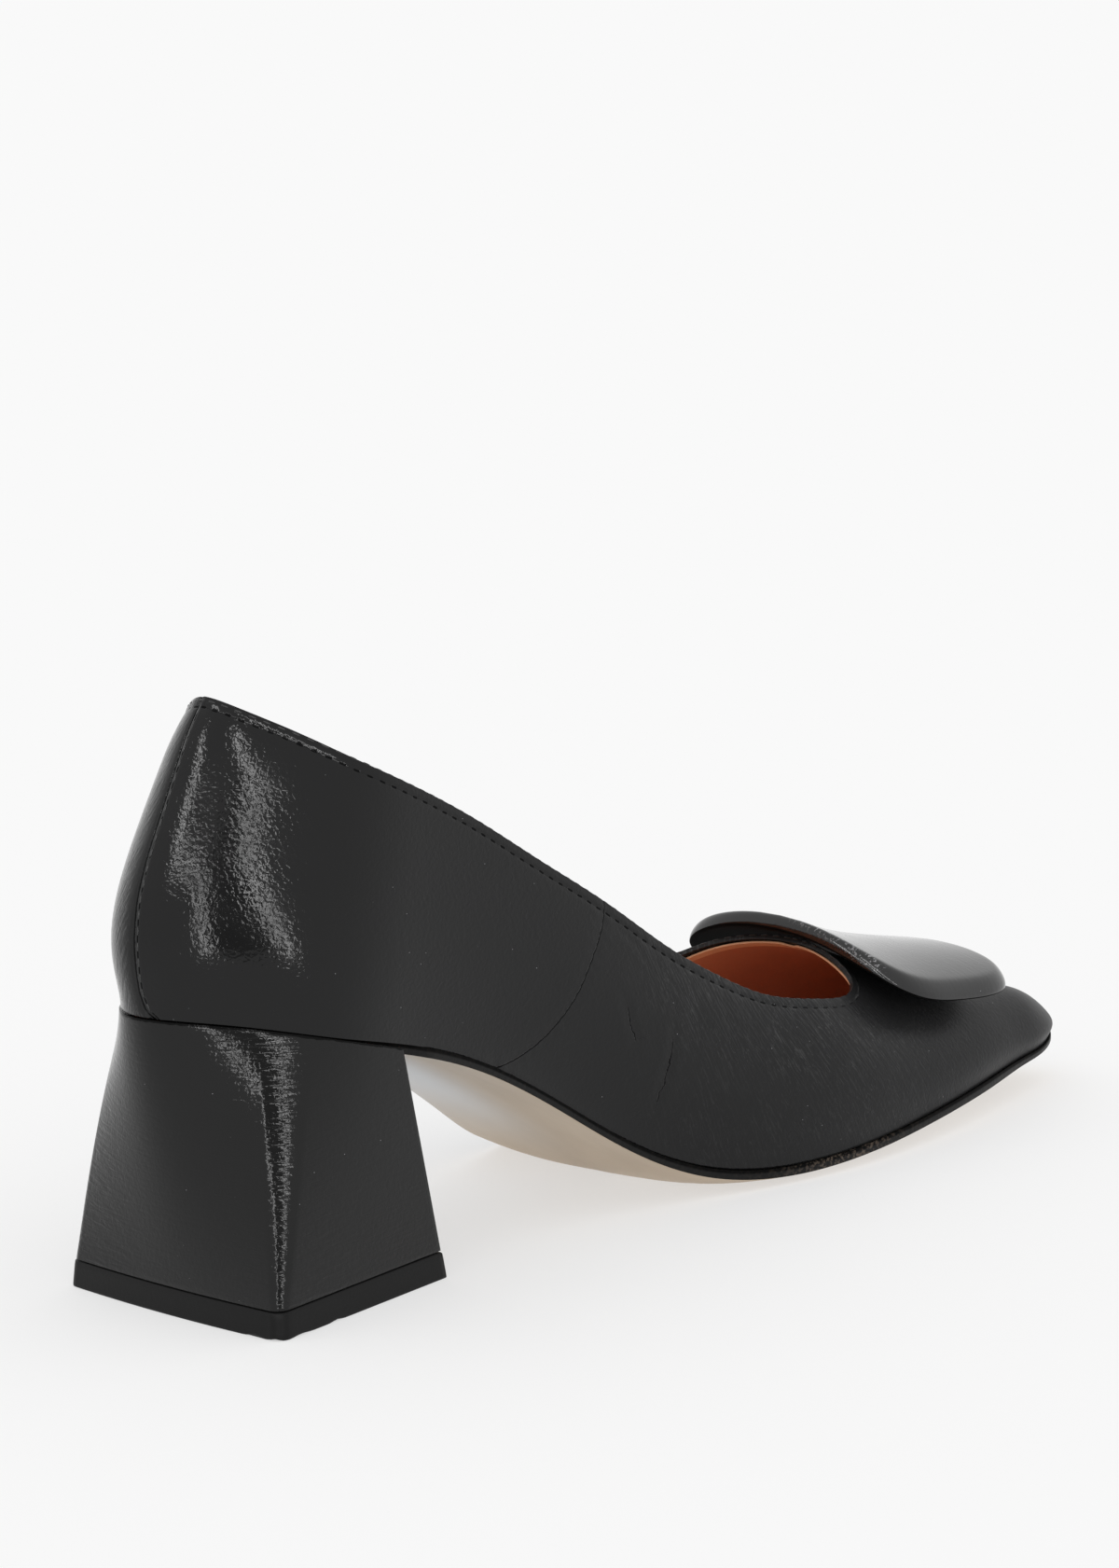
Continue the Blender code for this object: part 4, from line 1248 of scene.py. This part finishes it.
def heel_foot_outline(grow=0.0, height=0.0):
    """Half of the heel's outline at the floor, matched point by point to the seat's."""
    back, front = FOOT_BACK - grow, FOOT_FRONT + grow
    back_half, front_half = FOOT_BACK_HALF + grow, FOOT_FRONT_HALF + grow
    corner_x, corner_y = back + FOOT_CORNER, back_half - FOOT_CORNER

    def bowed(y):
        return back - FOOT_BOW * (1 - (y / back_half) ** 2)

    across = np.linspace(0, corner_y, HEEL_BACK_LINES, endpoint=False)
    turn = np.linspace(0, math.pi / 2, HEEL_CORNER_LINES, endpoint=False)
    along = np.linspace(0, 1, HEEL_SIDE_LINES + 1)
    breast = np.linspace(1, 0, BREAST_LINES + 1)[1:]
    x = np.concatenate([bowed(across), corner_x - (corner_x - bowed(corner_y)) * np.cos(turn),
                        corner_x + (front - corner_x) * along, np.full(BREAST_LINES, front)])
    y = np.concatenate([across, corner_y + FOOT_CORNER * np.sin(turn),
                        back_half + (front_half - back_half) * along, front_half * breast])
    return np.stack([x, y, np.full(len(x), height)], axis=-1)


seat = heel_seat_outline()
print("heel seat:", round(2 * seat[:, 1].max() / MM, 1), "mm wide")

# %% Heel block
LIFT_THICK = 5.3 * MM
LIFT_FLARE = 0.5 * MM
HEEL_STEP = 0.2 * MM
HEEL_RINGS = 44
FULL_CORNER = (6 * MM, 24 * MM)
FULL_CORNER_REACH = 15 * MM
FULL_CORNER_BULGE = 1.2 * MM
FULL_CORNER_WAY = np.array([-0.7, 0.7, 0.0])


def lofted(name, rings):
    """A closed block through rings of half outlines, mirrored in the middle plane, lowest ring last."""
    loops = np.array([np.concatenate([half, half[-2:0:-1] * (1, -1, 1)]) for half in rings])
    levels, count = loops.shape[:2]
    faces = []
    for level in range(levels - 1):
        low = level * count
        faces += [(low + i, low + count + i, low + count + (i + 1) % count, low + (i + 1) % count)
                  for i in range(count)]
    caps = [list(dict.fromkeys((i, i + 1, count - i - 1, (count - i) % count)))
            for i in range(HEEL_LINES - 1)]
    caps.append(list(range(HEEL_LINES - 1, count - HEEL_LINES + 2)))
    for base, turned in ((0, False), ((levels - 1) * count, True)):
        faces += [[base + i for i in (cap[::-1] if turned else cap)] for cap in caps]
    half_run = run_along(loops[levels // 2][:count // 2 + 1])
    round_run = np.append(half_run, half_run[-2:0:-1])
    run = np.stack([np.tile(round_run, (levels, 1)), loops[..., 2],
                    np.zeros((levels, count))], axis=-1).reshape(-1, 3)
    return new_piece(name, loops.reshape(-1, 3), faces, run=run)


foot = heel_foot_outline(-LIFT_FLARE - HEEL_STEP, LIFT_THICK + GAP)
heel = lofted("heel_block", [seat + (foot - seat) * share for share in np.linspace(0, 1, HEEL_RINGS)])
points = points_of(heel)
height_share = np.clip((points[:, 2] - LIFT_THICK - GAP) / (HEEL_HEIGHT - LIFT_THICK), 0, 1)
to_corner = np.hypot(points[:, 0] + MIDDLE[0] - FULL_CORNER[0], points[:, 1] + MIDDLE[1] - FULL_CORNER[1])
fuller = FULL_CORNER_BULGE * np.sin(math.pi * height_share) * ridge(to_corner, FULL_CORNER_REACH)
set_points(heel, points + fuller[:, None] * FULL_CORNER_WAY)
print("outer back corner fuller by up to", round(fuller.max() / MM, 2), "mm")

# %% Hollow the seat
ROOM_ABOVE = 8 * MM
HEEL_ROUNDING = 0.35 * MM


def room_outset(rounds):
    return sole_outset(rounds) + GAP


room = between("seat_room", sole_grid(room_outset, -ROOM_ABOVE, 0.0),
               sole_grid(room_outset, 2 * GAP + SOLE_EDGE, SOLE_CROWN))
cut = heel.modifiers.new("seat for the sole", "BOOLEAN")
cut.operation = "DIFFERENCE"
cut.object = room
bpy.context.view_layer.update()
hollowed = bpy.data.meshes.new_from_object(heel.evaluated_get(bpy.context.evaluated_depsgraph_get()))
heel.modifiers.clear()
heel.data = hollowed
bpy.data.objects.remove(room)
round_edges(heel, HEEL_ROUNDING, angle=50)
print("hollowed heel:", len(heel.data.polygons), "faces")

# %% Finish the heel
HEEL_BLACK = (0.007, 0.007, 0.007)
HEEL_GLOSS = 0.27
HEEL_WRINKLES = 4.5 * MM, 0.8 * MM
CORNER_PLACE = 8 * MM, 27 * MM
CORNER_FAR = 30 * MM
WRINKLED_CORNER = 6 * MM, 20 * MM

points = points_of(heel)
from_middle = np.abs(points[:, 1] + MIDDLE[1])
to_corner = np.hypot(points[:, 0] + MIDDLE[0] - CORNER_PLACE[0], from_middle - CORNER_PLACE[1])
to_corner = np.minimum(to_corner, CORNER_FAR)
keep_on_points(heel, "wrinkled", 0.35 + 0.65 * (1 - fade(to_corner, *WRINKLED_CORNER)))
seat_line = np.concatenate([seat[::-1] - MIDDLE, (seat * (1, -1, 1) - MIDDLE)[1:]])
keep_on_points(heel, "seat_gap", near_line(points, seat_line)[0])
heel.data.materials.append(black_leather(
    "heel_black", 0.0, HEEL_WRINKLES, 0.17 * MM, 0.05 * MM, gloss=HEEL_GLOSS, colour=HEEL_BLACK,
    mask="wrinkled", dull_edge=True, lines=[("seat_gap", 0.0, 0.8 * MM, 0.05 * MM, 0.8 * MM, None)]))
put_on_shoe(heel, "heel_leather", "heel")

# %% [markdown]
# ## Top lift
# The part of the heel that meets the floor is a slab of hard black rubber. It is satin rather than
# glossy, and the near back corner has lost a few small chips from its lower edge.

# %% Top lift
RUBBER_BLACK = (0.0085, 0.0085, 0.0085)
LIFT_ROUNDING = 0.25 * MM
CHIP_REACH = 0.9 * MM
CHIP_HEIGHT = 0.3 * MM, 1.6 * MM
# how far round from the middle of the back, in mm towards the inner side, half length, depth
CHIPS = [(24.0, 1.6, 0.45), (29.0, 1.2, 0.35), (35.5, 2.2, 0.25), (46.0, 1.4, 0.3)]

lift_rings = [heel_foot_outline(-LIFT_FLARE - LIFT_ROUNDING, LIFT_THICK),
              heel_foot_outline(-LIFT_FLARE, LIFT_THICK - LIFT_ROUNDING)]
lift_rings += [heel_foot_outline(-LIFT_FLARE * height / LIFT_THICK, height)
               for height in np.linspace(LIFT_THICK - 1.2 * MM, 0.5 * MM, 5)]
lift_rings += [heel_foot_outline(-0.06 * MM, 0.16 * MM), heel_foot_outline(-0.3 * MM, 0.0)]
lift = lofted("top_lift_rubber", lift_rings)
points = points_of(lift)
outline = heel_foot_outline() * (1, -1, 1) - MIDDLE
gap, run = near_line(points * (1, 1, 0), outline)
inner_side = points[:, 1] + MIDDLE[1] < 0
low = inner_side * (gap < CHIP_REACH) * (1 - fade(points[:, 2], *CHIP_HEIGHT))
for at, half, depth in CHIPS:
    points[:, 2] += low * depth * MM * ridge(run - at * MM, half * MM)
set_points(lift, points)

rubber, tree, shader = new_finish("top_lift_rubber", RUBBER_BLACK, 0.45, 0.14)
bump(tree, shader, sized_noise(tree, object_place(tree), 0.8 * MM, detail=3.0), 0.03 * MM)
lift.data.materials.append(rubber)
put_on_shoe(lift, "lift_rubber", "top_lift")

# %% [markdown]
# ## Saddle plate
# A thin plate, a rounded square covered in the same leather, lies across the vamp. Its back edge lies
# along the throat, its front stands a little off the vamp and its sides drop. Spokes and rings make a
# closed skin: over the top, round the rolled rim and back along the underside. The top has a clear coat,
# and the underside is dull.

# %% Skin of the plate
PLATE_MIDDLE = 195.2 * MM
PLATE_SIDEWAYS = -3.6 * MM
PLATE_HALF_LENGTH = 22.7 * MM
PLATE_HALF_WIDTH = 32.0 * MM
PLATE_SQUARENESS = 4.1
PLATE_TURN = 0.03
PLATE_THICK = 3.6 * MM
PLATE_ROLL = 0.06
PLATE_BLUNTNESS = 0.55
PLATE_RIM_LEAN = 0.028
PLATE_HUB = 0.02
PLATE_SPOKES = 200
PLATE_RINGS = 34
PLATE_RIM_STEPS = 16
# heights over the vamp's crest, in mm: in the middle, more at the front, less where it bows
PLATE_LIFT, PLATE_TILT, PLATE_BOW = 2.28, 1.9, 0.4
# how far its sides drop, in mm, and how much it leans to the outer side, at the middle and more in front
PLATE_DROP, PLATE_LEAN, PLATE_TWIST = 7.4, 0.9, 2.0

turn = np.linspace(math.pi / 2, -math.pi / 2, PLATE_RIM_STEPS + 1)
flat = np.linspace(PLATE_HUB, 1 - PLATE_ROLL - PLATE_RIM_LEAN, PLATE_RINGS)[:-1]
rim = 1 - PLATE_ROLL + PLATE_ROLL * np.abs(np.cos(turn)) ** PLATE_BLUNTNESS - PLATE_RIM_LEAN * np.sin(turn)
reach = np.concatenate([[0], flat, rim, flat[::-1], [0]])[:, None]
level = np.concatenate([[1], np.ones_like(flat), np.sin(turn), -np.ones_like(flat), [-1]])[:, None]
angles = np.linspace(0, 2 * math.pi, PLATE_SPOKES + 1)
power = 2 / PLATE_SQUARENESS
along = reach * np.sign(np.cos(angles)) * np.abs(np.cos(angles)) ** power
across = reach * np.sign(np.sin(angles)) * np.abs(np.sin(angles)) ** power
forwards = PLATE_HALF_LENGTH * along
sideways = PLATE_HALF_WIDTH * across
x = PLATE_MIDDLE + forwards - PLATE_TURN * sideways
y = PLATE_SIDEWAYS + PLATE_TURN * forwards + sideways
over_crest = PLATE_LIFT + PLATE_TILT * along - PLATE_BOW * along ** 2
side_drop = (PLATE_DROP - along) * across ** 2
lean = -(PLATE_LEAN + PLATE_TWIST * along) * across
z = last.crest(x) + (over_crest - side_drop + lean) * MM + PLATE_THICK * (1 + level) / 2
points = np.stack([x, y, z], axis=-1).reshape(-1, 3)
print("plate skin:", len(points), "points")

# %% The plate's mesh
HUB_SINK = 0.6 * MM

# a flaw that is kept: some points at the hub of the top sink and leave a pit about 1 mm wide
hub_share = fade(reach, 0.7, 0.95) * np.clip((0.6 - level) / 1.6, 0, 1)
points[:len(hub_share), 2] -= HUB_SINK * hub_share.ravel()
plate = new_piece("saddle_plate_leather", points, grid_faces(len(reach), PLATE_SPOKES + 1),
                  level=np.broadcast_to(level, along.shape).ravel(),
                  run=np.stack([forwards, sideways, 0 * forwards], axis=-1).reshape(-1, 3))
print("plate:", len(plate.data.vertices), "points")

# %% Finish the plate
# painted highlight: pale flakes along the plate's back roll are painted glints of the soft boxes, and
# partly scuffs of the worn edge
GLINT_SCUFF_EDGE = np.linspace((174.5, -9.0, 47.4), (176.0, -29.0, 38.8), 60) * MM
GLINT_SCUFF_REACH = 0.5 * MM, 2.6 * MM
PLATE_WRINKLES = 9.0 * MM, 0.8 * MM
PLATE_WRINKLE_ANGLE = math.radians(86)
PLATE_COAT = 0.35
UNDERSIDE_BLACK = (0.003, 0.003, 0.003)
UNDERSIDE_LEVEL = -0.7

glint_scuff_gap = near_line(points_of(plate), GLINT_SCUFF_EDGE - MIDDLE)[0]
keep_on_points(plate, "scuffs_and_glints", 1 - fade(glint_scuff_gap, *GLINT_SCUFF_REACH))
plate_black = black_leather("plate_black", PLATE_WRINKLE_ANGLE, PLATE_WRINKLES, 0.03 * MM, 0.03 * MM,
                            roughness=0.11, gloss=0.4, scuffs_and_glints="scuffs_and_glints")
plate_shader = plate_black.node_tree.nodes["Principled BSDF"]
plate_shader.inputs["Coat Weight"].default_value = PLATE_COAT
plate_shader.inputs["Coat Roughness"].default_value = 0.10
underside_black, _, _ = new_finish("plate_underside", UNDERSIDE_BLACK, 0.8, 0.05)
plate.data.materials.append(plate_black)
plate.data.materials.append(underside_black)
level = kept_on_points(plate, "level")
for face in plate.data.polygons:
    face.material_index = int(all(level[corner] < UNDERSIDE_LEVEL for corner in face.vertices))
put_on_shoe(plate, "plate_leather", "saddle_plate")
